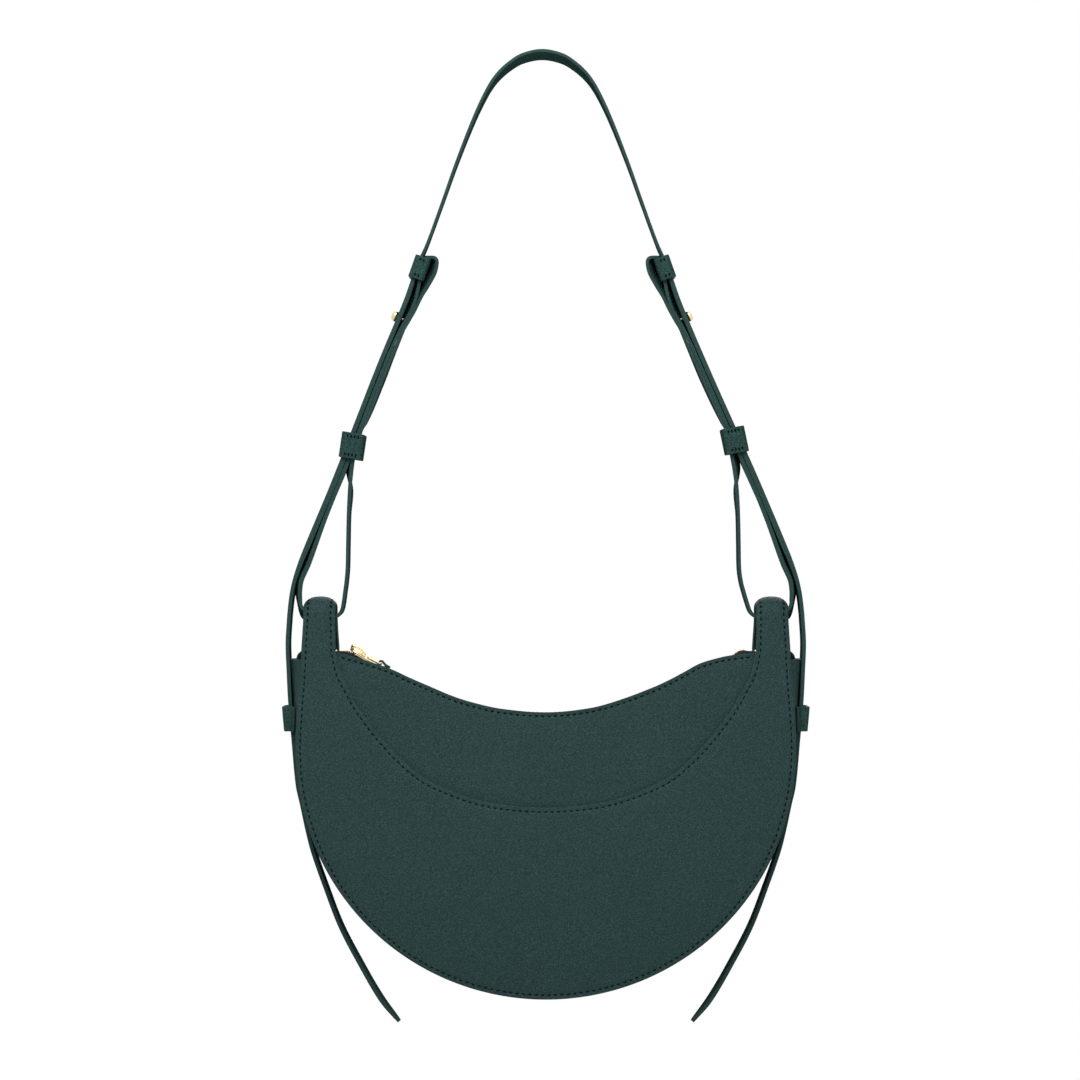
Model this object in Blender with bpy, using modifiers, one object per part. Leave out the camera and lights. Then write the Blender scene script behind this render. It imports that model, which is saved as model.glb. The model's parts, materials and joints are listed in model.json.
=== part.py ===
"""Half-moon shoulder bag in grained leather, hanging from its own strap.

The frame is in metres, +Z up, with the bag's front facing -Y. The origin is the underside of the
shoulder strap at its highest point, where the bag hangs. Heights on the bag are measured from
the tunnel axis, the line along X through both horns, which the loop straps turn about.
"""
import math

import bmesh
import bpy
from mathutils import Matrix, Vector

# Leather and cloth thicknesses, and the clearance between touching pieces
PANEL_LEATHER = 0.0020
YOKE_LEATHER = 0.0018
GUSSET_LEATHER = 0.0018
STRAP_LEATHER = 0.0018
KEEPER_LEATHER = 0.0018
TAB_LEATHER = 0.0011
LINING_CLOTH = 0.0008
BOARD = 0.0014
TAPE_CLOTH = 0.0006
CLEARANCE = 0.0003

# The bag's outline: a half moon of this radius with a horn at each end
BODY_RADIUS = 0.1448
DROP = 0.3282
CENTRE_DROP = 0.0748
HORN_HEIGHT = 0.0200
HORN_TOP_RADIUS = 0.0116
HORN_CROWN = 0.0015
HORN_EDGES_SHARES = (0.853, 0.974)
HORN_FOOT_SHARES = (0.847, 0.982)
HORN_SIDE_SHARE = 0.30
CRESCENT_SHARES = (
    (0.0, -0.761), (0.198, -0.746), (0.330, -0.713), (0.483, -0.647), (0.575, -0.574),
    (0.656, -0.490), (0.7065, -0.427), (0.753, -0.363), (0.794, -0.290), (0.827, -0.225),
)
FLAP_LENGTH = 0.0440
FLAP_BLEND = 0.0180
FLAP_ROUND = 0.0070

# The bag's depth grows from the horns to the base
BASE_DEPTH = 0.0630
FLAT_SHARE = 0.56
DEEPEST_SHARE = 0.86

# Yokes, boards, lining and pocket
YOKE_EDGE_SHARES = (
    (0.0, -0.382), (0.242, -0.360), (0.414, -0.3095), (0.5525, -0.252), (0.649, -0.201),
    (0.711, -0.169), (0.7666, -0.1515), (0.8425, -0.1450), (0.895, -0.1445),
)
BACK_YOKE_DROP = 0.0022
YOKE_LAP = 0.0080
BOARD_MARGIN = 0.0015
LINING_INSET = 0.0026
LINING_DROP = 0.0016
LINING_TOP_DROP = 0.0360
LINING_FALL_SHARE = 0.5
POCKET_WIDTH = 0.1300
POCKET_HEIGHT = 0.0700
POCKET_TOP_DROP = 0.0850
POCKET_BULGE = 0.0062
POCKET_SLACK = 0.0003

# Gusset
GUSSET_INSET = 0.0010
GUSSET_FLANGE = 0.0058
GUSSET_TOP_DROP = 0.0244
GUSSET_BULGE = 0.0010
GUSSET_FLARE = 0.0074
GUSSET_FLARE_LENGTH = 0.0700
WALL_SHARE = 0.42

# Zip
ZIP_SAG = 0.0351
ZIP_DIP = 0.0571
ZIP_ARC_SHARE = 0.782
ZIP_EASE = 0.0040
TEETH_END_SHARE = 0.846
TAPE_END_SHARE = 0.876
TOOTH_PITCH = 0.0026
TOOTH_WIDTH = 0.00095
TOOTH_HEIGHT = 0.0018
TOOTH_OVERLAP = 0.00055
TEETH_CORD = 0.0010
CHAIN_HALF_WIDTH = 0.0029
STOP_LENGTH = 0.0026
END_TAB_LEATHER = 0.0012
END_TAB_START_SHARE = 0.869

# Slider, pull ring and pull tab
SLIDER_PLACE_SHARE = -0.743
SLIDER_LENGTH = 0.0112
SLIDER_WIDTH = 0.0088
SLIDER_WALL = 0.0011
SLIDER_BEVEL = 0.0004
BRIDGE_LENGTH = 0.0086
BRIDGE_HEIGHT = 0.0040
BRIDGE_WIDTH = 0.0024
BRIDGE_WALL = 0.0010
RING_LENGTH = 0.0098
RING_WIDTH = 0.0090
RING_WIRE = 0.0015
RING_PLACE = 0.0012
RING_TILT = math.radians(4)
RING_CORNER_SHARE = 0.45
TAB_LENGTH = 0.0058
TAB_WIDTH = 0.0053
TAB_EYE = 0.0017

# Strap: half of its centreline, as shares of the body radius across and of the drop down
STRAP_WIDTH = 0.0160
SHOULDER_WIDTH = 0.0280
SHOULDER_LENGTH = 0.1250
STRAP_SHARES = (
    (0.079, -0.0042), (0.131, -0.0177), (0.180, -0.0372), (0.221, -0.0622), (0.2776, -0.1118),
    (0.3467, -0.1868), (0.4075, -0.2620), (0.4682, -0.3370), (0.4931, -0.3626), (0.5152, -0.3885),
)
BUNDLE_TOP_SHARE = (0.556, -0.440)
BUNDLE_FOOT_SHARE = (0.982, -0.890)
SIDE_SHARES = ((1.0138, -0.931), (1.029, -0.9616), (1.0394, -1.0))
STRAP_END_RADIUS = 0.0072
NOTCH_CLEARANCE = 0.0008
LAYER_PITCH = STRAP_LEATHER + CLEARANCE

# Tails, from the tunnel axis down, as shares of the body radius
TAIL_SHARES = (
    (1.0395, -0.008), (1.045, -0.108), (1.041, -0.2175), (1.035, -0.339), (1.021, -0.501),
    (1.0042, -0.680), (0.987, -0.761), (0.966, -0.866), (0.945, -0.951), (0.894, -1.093),
    (0.8315, -1.252), (0.758, -1.394), (0.6685, -1.548), (0.595, -1.642),
)
TAIL_WIDTH = 0.0140
TAIL_POINT = 0.0220
TAIL_TIP = 0.0016

# Loop straps: the stretches that leave the bundle, as shares of the body radius across and of
# the drop down, in order from the lower keeper, round the tunnel and back to the keeper. Where
# a strand stands off the strap, its back edge leans towards it.
LEAVING_SHARES = ((0.70, 1.55), (0.84, 1.95))
LEANS = {"leaving": (0.0006, 0.0010), "outer": (0.0011, 0.0009, 0.0005), "fold": 0.0019}
LOOP_WIDTH = 0.0150
LOOP_OUTER_SHARES = ((0.9600, -0.9060), (0.9900, -0.9385), (0.9960, -0.9622), (0.9965, -0.9800),
                     (0.9860, -0.9930), (0.9650, -0.9993), (0.9450, -1.0))
LOOP_INNER_SHARES = ((0.8650, -1.0), (0.8425, -0.9980), (0.8270, -0.9905), (0.8163, -0.9750),
                     (0.8073, -0.9567), (0.7990, -0.9385), (0.7928, -0.9141), (0.7907, -0.8684),
                     (0.7880, -0.8166), (0.7818, -0.7740), (0.7735, -0.7404), (0.7638, -0.7160),
                     (0.7541, -0.6932), (0.7434, -0.6745))
FOLD_SHARES = ((0.5380, -0.4553), (0.5145, -0.4424), (0.4870, -0.4296), (0.4620, -0.4130),
               (0.4392, -0.3900), (0.4323, -0.3733), (0.4371, -0.3626), (0.4510, -0.3574),
               (0.4641, -0.3574), (0.4745, -0.3604))

# Keepers, studs and side loops
UPPER_KEEPER_HEIGHT = 0.0145
UPPER_KEEPER_GAP = 0.0056
UPPER_KEEPER_SHARE = 0.3818
UPPER_KEEPER_TILT = math.radians(19.5)
LOWER_KEEPER_HEIGHT = 0.0150
LOWER_KEEPER_GAP = 0.0098
LOWER_KEEPER_SHARES = (0.7740, -0.6904)
LOWER_KEEPER_TILT = math.radians(16.0)
KEEPER_SIDE_GAP = 0.0005
STUD_SHARES = (0.5801, -0.4656)
STUD_HEAD_RADIUS = 0.0033
STUD_HEAD_HEIGHT = 0.0046
STUD_WAIST_HEIGHT = 0.0019
STUD_BASE_RADIUS = 0.0022
STUD_NECK_RADIUS = 0.0013
STUD_FOOT_RADIUS = 0.0030
STUD_FOOT_HEIGHT = 0.0012
SCREW_SLOT = 0.0007
SIDE_LOOP_HEIGHT = 0.0145
SIDE_LOOP_DROP = 0.0597
SIDE_LOOP_LEATHER = 0.0014
SIDE_LOOP_FOOT = 0.0035
SIDE_LOOP_SLACK = 0.0018

# How finely curves are divided
OUTLINE_STEPS = 24
YOKE_STEPS = 16
HIDDEN_STEPS = 12
ROUND_STEPS = 16
OVERRUN = 0.0020

# Colours of the finishes
GREEN = (0.034, 0.065, 0.063, 1.0)
DARK_GREEN = (0.018, 0.040, 0.037, 1.0)
LINING_COLOUR = (0.12, 0.11, 0.09, 1.0)
BOARD_COLOUR = (0.25, 0.20, 0.15, 1.0)
GILT = (0.83, 0.60, 0.30, 1.0)

TUNNEL_Z = -DROP
CENTRE_Z = TUNNEL_Z - CENTRE_DROP
BODY_HEIGHT = CENTRE_DROP + BODY_RADIUS
ZIP_REACH = ZIP_ARC_SHARE * BODY_RADIUS
ZIP_RADIUS = (ZIP_REACH ** 2 + ZIP_SAG ** 2) / (2 * ZIP_SAG)
ZIP_CENTRE_Z = TUNNEL_Z - ZIP_DIP + ZIP_RADIUS
SIDES = {"left": -1, "right": 1}


def start_scene():
    for thing in list(bpy.data.objects):
        bpy.data.objects.remove(thing, do_unlink=True)
    bag = bpy.data.collections.new("half_moon_bag")
    tools = bpy.data.collections.new("cutters")
    bpy.context.scene.collection.children.link(bag)
    bpy.context.scene.collection.children.link(tools)
    tools.hide_render = True
    return bag, tools


BAG, CUTTERS = start_scene()


def finish(name, colour, roughness, metallic=0.0):
    skin = bpy.data.materials.new(name)
    skin.use_nodes = True
    shader = skin.node_tree.nodes["Principled BSDF"]
    shader.inputs["Base Color"].default_value = colour
    shader.inputs["Roughness"].default_value = roughness
    shader.inputs["Metallic"].default_value = metallic
    return skin


LEATHER_SKIN = finish("green_leather", GREEN, 0.55)
STRAP_SKIN = finish("strap_leather", GREEN, 0.50)
EDGE_SKIN = finish("inner_leather", DARK_GREEN, 0.65)
LINING_SKIN = finish("lining_cloth", LINING_COLOUR, 0.85)
BOARD_SKIN = finish("stiffener_board", BOARD_COLOUR, 0.90)
TAPE_SKIN = finish("zip_tape", DARK_GREEN, 0.80)
GILT_SKIN = finish("gilt_metal", GILT, 0.22, 1.0)


def add_piece(name, mesh, skin, carrier=None, group=BAG):
    piece = bpy.data.objects.new(name, mesh)
    group.objects.link(piece)
    mesh.materials.append(skin)
    if carrier is not None:
        hang_on(piece, carrier)
    return piece


def hang_on(piece, carrier):
    """Parents a piece to a joint's empty and leaves it where it is."""
    piece.parent = carrier
    piece.matrix_parent_inverse = Matrix.Translation(-PLACES[carrier.name])


PLACES = {}


def joint_empty(name, place, carrier=None):
    empty = bpy.data.objects.new(name, None)
    BAG.objects.link(empty)
    empty.empty_display_size = STRAP_WIDTH
    empty.location = place
    PLACES[name] = Vector(place)
    if carrier is not None:
        hang_on(empty, carrier)
    return empty


def cutter(name, mesh):
    tool = bpy.data.objects.new(name, mesh)
    CUTTERS.objects.link(tool)
    tool.hide_render = True
    tool.display_type = "WIRE"
    return tool


def combine(piece, other, operation):
    step = piece.modifiers.new(operation.lower() + "_" + other.name, "BOOLEAN")
    step.operation = operation
    step.object = other
    step.solver = "EXACT"


def curve_through(points, steps, closed=False):
    """A smooth curve through the points, each stretch cut into the same number of steps."""
    points = [Vector(point) for point in points]
    count = len(points)
    tangents = []
    for i in range(count):
        before = points[i - 1] if closed or i > 0 else points[i]
        after = points[(i + 1) % count] if closed or i < count - 1 else points[i]
        span = (points[i] - before).length + (after - points[i]).length
        tangents.append((after - before) / span)
    curve = []
    for i in range(count if closed else count - 1):
        j = (i + 1) % count
        chord = (points[j] - points[i]).length
        for k in range(steps):
            t = k / steps
            near = (1 + 2 * t) * (1 - t) ** 2
            far = t * t * (3 - 2 * t)
            leave = t * (1 - t) ** 2 * chord
            arrive = t * t * (t - 1) * chord
            curve.append(points[i] * near + points[j] * far
                         + tangents[i] * leave + tangents[j] * arrive)
    if not closed:
        curve.append(points[-1])
    return curve


def spaced(points, count):
    """The same line with count + 1 points at even distances along it."""
    lengths = [0.0]
    for a, b in zip(points, points[1:]):
        lengths.append(lengths[-1] + (b - a).length)
    line = []
    i = 0
    for k in range(count + 1):
        goal = lengths[-1] * k / count
        while i < len(points) - 2 and lengths[i + 1] < goal:
            i += 1
        stretch = lengths[i + 1] - lengths[i]
        line.append(points[i].lerp(points[i + 1], (goal - lengths[i]) / stretch))
    return line


def shifted(points, distance):
    """The line moved sideways: to the left of its direction where distance is positive."""
    line = []
    for i, point in enumerate(points):
        ahead = points[min(i + 1, len(points) - 1)] - points[max(i - 1, 0)]
        line.append(point + Vector((-ahead.y, ahead.x)).normalized() * distance)
    return line


def sheet(name, rows, thickness, skin, ring=False, carrier=None):
    """A shell: a grid of points, thickened about its middle."""
    wide = len(rows[0])
    corners = [corner for row in rows for corner in row]
    faces = []
    for i in range(len(rows) if ring else len(rows) - 1):
        j = (i + 1) % len(rows)
        for k in range(wide - 1):
            faces.append((i * wide + k, i * wide + k + 1, j * wide + k + 1, j * wide + k))
    mesh = bpy.data.meshes.new(name)
    mesh.from_pydata(corners, [], faces)
    piece = add_piece(name, mesh, skin, carrier)
    shell = piece.modifiers.new("leather", "SOLIDIFY")
    shell.thickness = thickness
    shell.offset = 0
    shell.use_even_offset = True
    return piece


def band(name, line, widths, thickness, skin, ring=False, carrier=None, side=1):
    """A strap seen edge on: a line in the XZ plane with its width along Y."""
    rows = [((side * p.x, -w / 2, p.y), (side * p.x, w / 2, p.y)) for p, w in zip(line, widths)]
    return sheet(name, rows, thickness, skin, ring, carrier)


def prism(name, outline, depth):
    """A flat outline in XZ, given depth along Y and centred on Y = 0."""
    mesh = bpy.data.meshes.new(name)
    shape = bmesh.new()
    ring = [shape.verts.new((x, -depth / 2, z)) for x, z in outline]
    face = shape.faces.new(ring)
    grown = bmesh.ops.extrude_face_region(shape, geom=[face])
    moved = [item for item in grown["geom"] if isinstance(item, bmesh.types.BMVert)]
    bmesh.ops.translate(shape, verts=moved, vec=(0, depth, 0))
    bmesh.ops.recalc_face_normals(shape, faces=shape.faces)
    shape.to_mesh(mesh)
    shape.free()
    return mesh


def turned(name, profile, skin, carrier=None):
    """A turned piece: a profile of (radius, height) points, run down its outer side."""
    mesh = bpy.data.meshes.new(name)
    edges = [(i, i + 1) for i in range(len(profile) - 1)]
    mesh.from_pydata([(r, 0, z) for r, z in profile], edges, [])
    piece = add_piece(name, mesh, skin, carrier)
    screw = piece.modifiers.new("turning", "SCREW")
    screw.steps = ROUND_STEPS
    screw.render_steps = ROUND_STEPS
    screw.use_merge_vertices = True
    screw.merge_threshold = 0.00001
    screw.use_normal_calculate = True
    return piece


def half_depth(z):
    """Half the bag's depth at a height, to the outside of the front or back panel."""
    down = TUNNEL_Z - z
    flat = FLAT_SHARE * BODY_HEIGHT
    deepest = DEEPEST_SHARE * BODY_HEIGHT
    slope = (BASE_DEPTH / 2 - HORN_TOP_RADIUS) * 2 / (flat + deepest)
    over = max(0.0, down - flat)
    return HORN_TOP_RADIUS + slope * down - slope * over * over / (2 * (deepest - flat))


def body_point(across, down):
    """A point in XZ, both values as shares of the body radius from the tunnel axis."""
    return Vector((across * BODY_RADIUS, TUNNEL_Z + down * BODY_RADIUS))


def drop_point(across, down):
    """A point in XZ, a share of the body radius across and a share of the drop down."""
    return Vector((across * BODY_RADIUS, down * DROP))


def outer_edge():
    """Right half of the outline, from the bottom to the foot of the horn."""
    turn = [math.radians(-90 + 10 * k) for k in range(10)]
    curve = [Vector((BODY_RADIUS * math.cos(a), CENTRE_Z + BODY_RADIUS * math.sin(a)))
             for a in turn]
    foot = Vector((HORN_FOOT_SHARES[1] * BODY_RADIUS, TUNNEL_Z - HORN_HEIGHT))
    rise = (foot.y - curve[-1].y) * HORN_SIDE_SHARE
    start = curve[-1]
    for k in range(1, 9):
        t = k / 8
        handles = (start, start + Vector((0, rise)), foot - Vector((0, rise)), foot)
        weights = ((1 - t) ** 3, 3 * t * (1 - t) ** 2, 3 * t * t * (1 - t), t ** 3)
        curve.append(sum((h * w for h, w in zip(handles, weights)), Vector((0, 0))))
    return curve


def mirrored_start(points):
    """Adds the mirrored second point before the first, so that a half line starts level."""
    first = Vector((-points[1].x, points[1].y))
    return [first] + points


def half_curve(points, count):
    whole = curve_through(mirrored_start(points), 8)[8:]
    return spaced(whole, count)


def inner_edge():
    """Right half of the crescent's inner edge, from the middle to the foot of the horn."""
    points = [body_point(*share) for share in CRESCENT_SHARES]
    points.append(Vector((HORN_FOOT_SHARES[0] * BODY_RADIUS, TUNNEL_Z - HORN_HEIGHT)))
    return points


OUTER_LINE = spaced(outer_edge(), OUTLINE_STEPS)
INNER_LINE = half_curve(inner_edge(), OUTLINE_STEPS)


def mirror_rows(rows):
    """Rows of the right half, whose first is on X = 0, made into both halves."""
    left = [[(-x, y, z) for x, y, z in row] for row in reversed(rows[1:])]
    return left + rows


ACROSS_SHARES = (0.0, 0.28, 0.56, 0.80, 1.0)


def crescent_rows(side):
    """Front (side -1) or back (side 1) half crescent, bottom to the foot of the horn."""
    rows = []
    for inner, outer in zip(INNER_LINE, OUTER_LINE):
        row = []
        for share in ACROSS_SHARES:
            spot = inner.lerp(outer, share)
            row.append((spot.x, side * (half_depth(spot.y) - PANEL_LEATHER / 2), spot.y))
        rows.append(row)
    return rows


def horn_x(share, climb):
    """X across the horn: climb is 0 at the horn's foot and 1 at the tunnel axis."""
    low = HORN_FOOT_SHARES[0] + (HORN_FOOT_SHARES[1] - HORN_FOOT_SHARES[0]) * share
    high = HORN_EDGES_SHARES[0] + (HORN_EDGES_SHARES[1] - HORN_EDGES_SHARES[0]) * share
    return (low + (high - low) * climb) * BODY_RADIUS


def crown(share):
    return HORN_CROWN * (2 * share - 1) ** 2


def horn_rows():
    """The horn above its foot: up the front, over the tunnel and down the back as a flap."""
    rows = []
    for climb in (0.5, 1.0):
        z = TUNNEL_Z - HORN_HEIGHT * (1 - climb)
        depth = half_depth(z) - PANEL_LEATHER / 2
        rows.append([(horn_x(s, climb), crown(s) * climb - depth, z) for s in ACROSS_SHARES])
    radius = HORN_TOP_RADIUS - PANEL_LEATHER / 2
    for k in range(1, 7):
        turn = math.pi * k / 7
        row = []
        for share in ACROSS_SHARES:
            r = radius - crown(share)
            row.append((horn_x(share, 1.0), -r * math.cos(turn), TUNNEL_Z + r * math.sin(turn)))
        rows.append(row)
    downs = [FLAP_BLEND * k / 3 for k in range(4)]
    downs += [FLAP_LENGTH - FLAP_ROUND * (1 - share) for share in (0.0, 0.6, 1.0)]
    for down in downs:
        rows.append(flap_row(down))
    return rows


def flap_row(down):
    z = TUNNEL_Z - down
    blend = min(down / FLAP_BLEND, 1.0)
    blend = blend * blend * (3 - 2 * blend)
    close = HORN_TOP_RADIUS - PANEL_LEATHER / 2
    far = half_depth(z) + CLEARANCE + PANEL_LEATHER / 2
    past = max(0.0, down - (FLAP_LENGTH - FLAP_ROUND)) / FLAP_ROUND
    narrow = 1 - math.sqrt(max(0.0, 1 - 0.8 * past * past))
    climb = 1 - min(down / HORN_HEIGHT, 1.0)
    row = []
    for share in ACROSS_SHARES:
        s = share + (0.5 - share) * narrow
        y = (close - crown(share)) * (1 - blend) + far * blend
        row.append((horn_x(s, climb), y, z))
    return row


def make_front_panel(carrier):
    rows = crescent_rows(-1) + horn_rows()
    sheet("front_panel", mirror_rows(rows), PANEL_LEATHER, LEATHER_SKIN, carrier=carrier)


def make_back_panel(carrier):
    sheet("back_panel", mirror_rows(crescent_rows(1)), PANEL_LEATHER, LEATHER_SKIN,
          carrier=carrier)


def make_yoke(name, side, carrier, fall=0.0):
    top = half_curve([body_point(*share) for share in YOKE_EDGE_SHARES], YOKE_STEPS)
    top = [point - Vector((0, fall)) for point in top]
    lap = spaced(shifted(half_curve(inner_edge(), 2 * YOKE_STEPS), -YOKE_LAP)[:-1], YOKE_STEPS)
    rows = []
    for high, low in zip(top, lap):
        row = []
        for share in (0.0, 0.5, 1.0):
            spot = high.lerp(low, share)
            depth = half_depth(spot.y) - PANEL_LEATHER - CLEARANCE - YOKE_LEATHER / 2
            row.append((spot.x, side * depth, spot.y))
        rows.append(row)
    sheet(name, mirror_rows(rows), YOKE_LEATHER, LEATHER_SKIN, carrier=carrier)


def make_board(name, side, carrier):
    """The stiffener between the yoke's lap and the gusset's flange."""
    inner = shifted(INNER_LINE, -(YOKE_LAP + BOARD_MARGIN))
    outer = shifted(OUTER_LINE, GUSSET_INSET + GUSSET_FLANGE + BOARD_MARGIN)
    rows = []
    for near, far in list(zip(inner, outer))[:-3:2]:
        row = []
        for share in (0.0, 0.35, 0.7, 1.0):
            spot = near.lerp(far, share)
            depth = half_depth(spot.y) - PANEL_LEATHER - CLEARANCE - BOARD / 2
            row.append((spot.x, side * depth, spot.y))
        rows.append(row)
    sheet(name, mirror_rows(rows), BOARD, BOARD_SKIN, carrier=carrier)


def gusset_flare(z):
    """How far the gusset's middle stands out from its sewn edges at a height."""
    past = (z - (TUNNEL_Z - GUSSET_TOP_DROP - GUSSET_FLARE_LENGTH)) / GUSSET_FLARE_LENGTH
    past = min(max(past, 0.0), 1.0)
    return GUSSET_BULGE + GUSSET_FLARE * past * past


def gusset_out(z, y):
    """The same at a depth, following the flat facets between the section's corners."""
    share = min(abs(y) / wall_half_width(z), 1.0)
    rise = 1 - WALL_SHARE ** 2
    facet = 1.0 if share < WALL_SHARE else (1 - share) / (1 - WALL_SHARE)
    return gusset_flare(z) * rise * facet


def wall_half_width(z):
    return half_depth(z) - PANEL_LEATHER - CLEARANCE - GUSSET_LEATHER / 2


def gusset_line():
    """Right half of the outline up to the gusset's top, with its outward directions."""
    fine = spaced(outer_edge(), 120)
    top = TUNNEL_Z - GUSSET_TOP_DROP
    kept = [point for point in fine if point.x < BODY_RADIUS / 2 or point.y < top]
    line = spaced(kept, OUTLINE_STEPS)
    return list(zip(line, [(b - a).normalized() for a, b in zip(shifted(line, 1.0), line)]))


def make_gusset(carrier):
    rows = []
    for point, out in gusset_line():
        edge = point - out * GUSSET_INSET
        half = wall_half_width(edge.y)
        rim = edge - out * GUSSET_FLANGE
        rim_half = wall_half_width(rim.y)
        row = [(rim.x, -rim_half, rim.y)]
        for share in (-1.0, -WALL_SHARE, WALL_SHARE, 1.0):
            spot = edge + out * gusset_out(point.y, share * half)
            row.append((spot.x, share * half, spot.y))
        row.append((rim.x, rim_half, rim.y))
        rows.append(row)
    sheet("gusset", mirror_rows(rows), GUSSET_LEATHER, LEATHER_SKIN, carrier=carrier)


def lining_depth(z):
    """Half the depth to the middle of the lining sheets."""
    layers = PANEL_LEATHER + CLEARANCE + YOKE_LEATHER + CLEARANCE
    return half_depth(z) - layers - LINING_CLOTH / 2


def chain_point(x):
    """The zip chain's middle line: an arc that flattens at both ends."""
    over = max(0.0, abs(x) - ZIP_REACH)
    base = min(abs(x), ZIP_REACH)
    z = ZIP_CENTRE_Z - math.sqrt(ZIP_RADIUS ** 2 - base ** 2)
    slope = base / math.sqrt(ZIP_RADIUS ** 2 - base ** 2)
    eased = min(over, ZIP_EASE)
    return Vector((x, z + slope * (eased - eased * eased / (2 * ZIP_EASE))))


def make_lining_sheet(name, side, carrier):
    kept = [point for point in spaced(outer_edge(), 100) if point.y < TUNNEL_Z - LINING_TOP_DROP]
    outer = spaced(shifted(kept, GUSSET_INSET + GUSSET_LEATHER / 2 + LINING_INSET), HIDDEN_STEPS)
    rows = []
    for i, low in enumerate(outer):
        x = outer[-1].x * math.sin(math.pi / 2 * i / HIDDEN_STEPS)
        end = TEETH_END_SHARE * BODY_RADIUS
        high = chain_point(min(x, end)) - Vector((0, LINING_DROP))
        high = Vector((x, high.y - max(0.0, x - end) * LINING_FALL_SHARE))
        row = []
        for share in (0.0, 0.35, 0.7, 1.0):
            spot = high.lerp(low, share)
            row.append((spot.x, side * lining_depth(spot.y), spot.y))
        rows.append(row)
    sheet(name, mirror_rows(rows), LINING_CLOTH, LINING_SKIN, carrier=carrier)


def make_lining_gusset(carrier):
    rows = []
    for point, out in gusset_line()[:-5:2]:
        away = GUSSET_INSET + GUSSET_LEATHER / 2 + CLEARANCE + LINING_CLOTH / 2
        spot = point - out * away
        half = lining_depth(spot.y) - LINING_CLOTH / 2 - 2 * CLEARANCE
        row = [(spot.x, share * half, spot.y) for share in (-1.0, 0.0, 1.0)]
        rows.append(row)
    sheet("lining_gusset", mirror_rows(rows), LINING_CLOTH, LINING_SKIN, carrier=carrier)


def make_pocket(carrier):
    """An open slip pocket: sewn to the back lining at its sides and foot, standing off at its top."""
    rows = []
    for i in range(7):
        fall = i / 6
        z = TUNNEL_Z - POCKET_TOP_DROP - POCKET_HEIGHT * fall
        row = []
        for k in range(9):
            share = -1 + k / 4
            stand = (1 - share ** 4) * (1 - fall ** 3) * POCKET_BULGE
            y = lining_depth(z) - LINING_CLOTH - CLEARANCE - POCKET_SLACK - stand
            row.append((share * POCKET_WIDTH / 2, y, z))
        rows.append(row)
    sheet("inner_pocket", rows, LINING_CLOTH, LINING_SKIN, carrier=carrier)


def chain_line(reach, count):
    """Right half of the chain's line, out to a distance from the middle."""
    fine = [chain_point(reach * k / 200) for k in range(201)]
    return spaced(fine, count)


def make_tape(name, side, carrier):
    line = chain_line(TAPE_END_SHARE * BODY_RADIUS, YOKE_STEPS)
    near = CHAIN_HALF_WIDTH + CLEARANCE
    rows = []
    for point in line:
        far = half_depth(point.y) - PANEL_LEATHER - YOKE_LEATHER - 2 * CLEARANCE
        rows.append([(point.x, side * near, point.y), (point.x, side * far, point.y)])
    sheet(name, mirror_rows(rows), TAPE_CLOTH, TAPE_SKIN, carrier=carrier)


def chain_stations(shift):
    """Distances along the chain where teeth start and end, with the chain's two ends."""
    fine = [chain_point(TEETH_END_SHARE * BODY_RADIUS * k / 200) for k in range(201)]
    half = sum((b - a).length for a, b in zip(fine, fine[1:]))
    count = int((half - TOOTH_PITCH) / TOOTH_PITCH)
    centres = [(k + shift) * TOOTH_PITCH for k in range(-count, count)]
    edges = [c + end * TOOTH_WIDTH / 2 for c in centres for end in (-1, 1)]
    return half, edges, fine


def station_frame(fine, distance):
    """Point and upward normal of the chain at a signed distance from its middle."""
    side = 1 if distance >= 0 else -1
    left = abs(distance)
    i = 0
    while i < len(fine) - 2 and (fine[i + 1] - fine[i]).length < left:
        left -= (fine[i + 1] - fine[i]).length
        i += 1
    ahead = (fine[i + 1] - fine[i]).normalized()
    spot = fine[i] + ahead * left
    return Vector((side * spot.x, spot.y)), Vector((-side * ahead.y, ahead.x))


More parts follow.
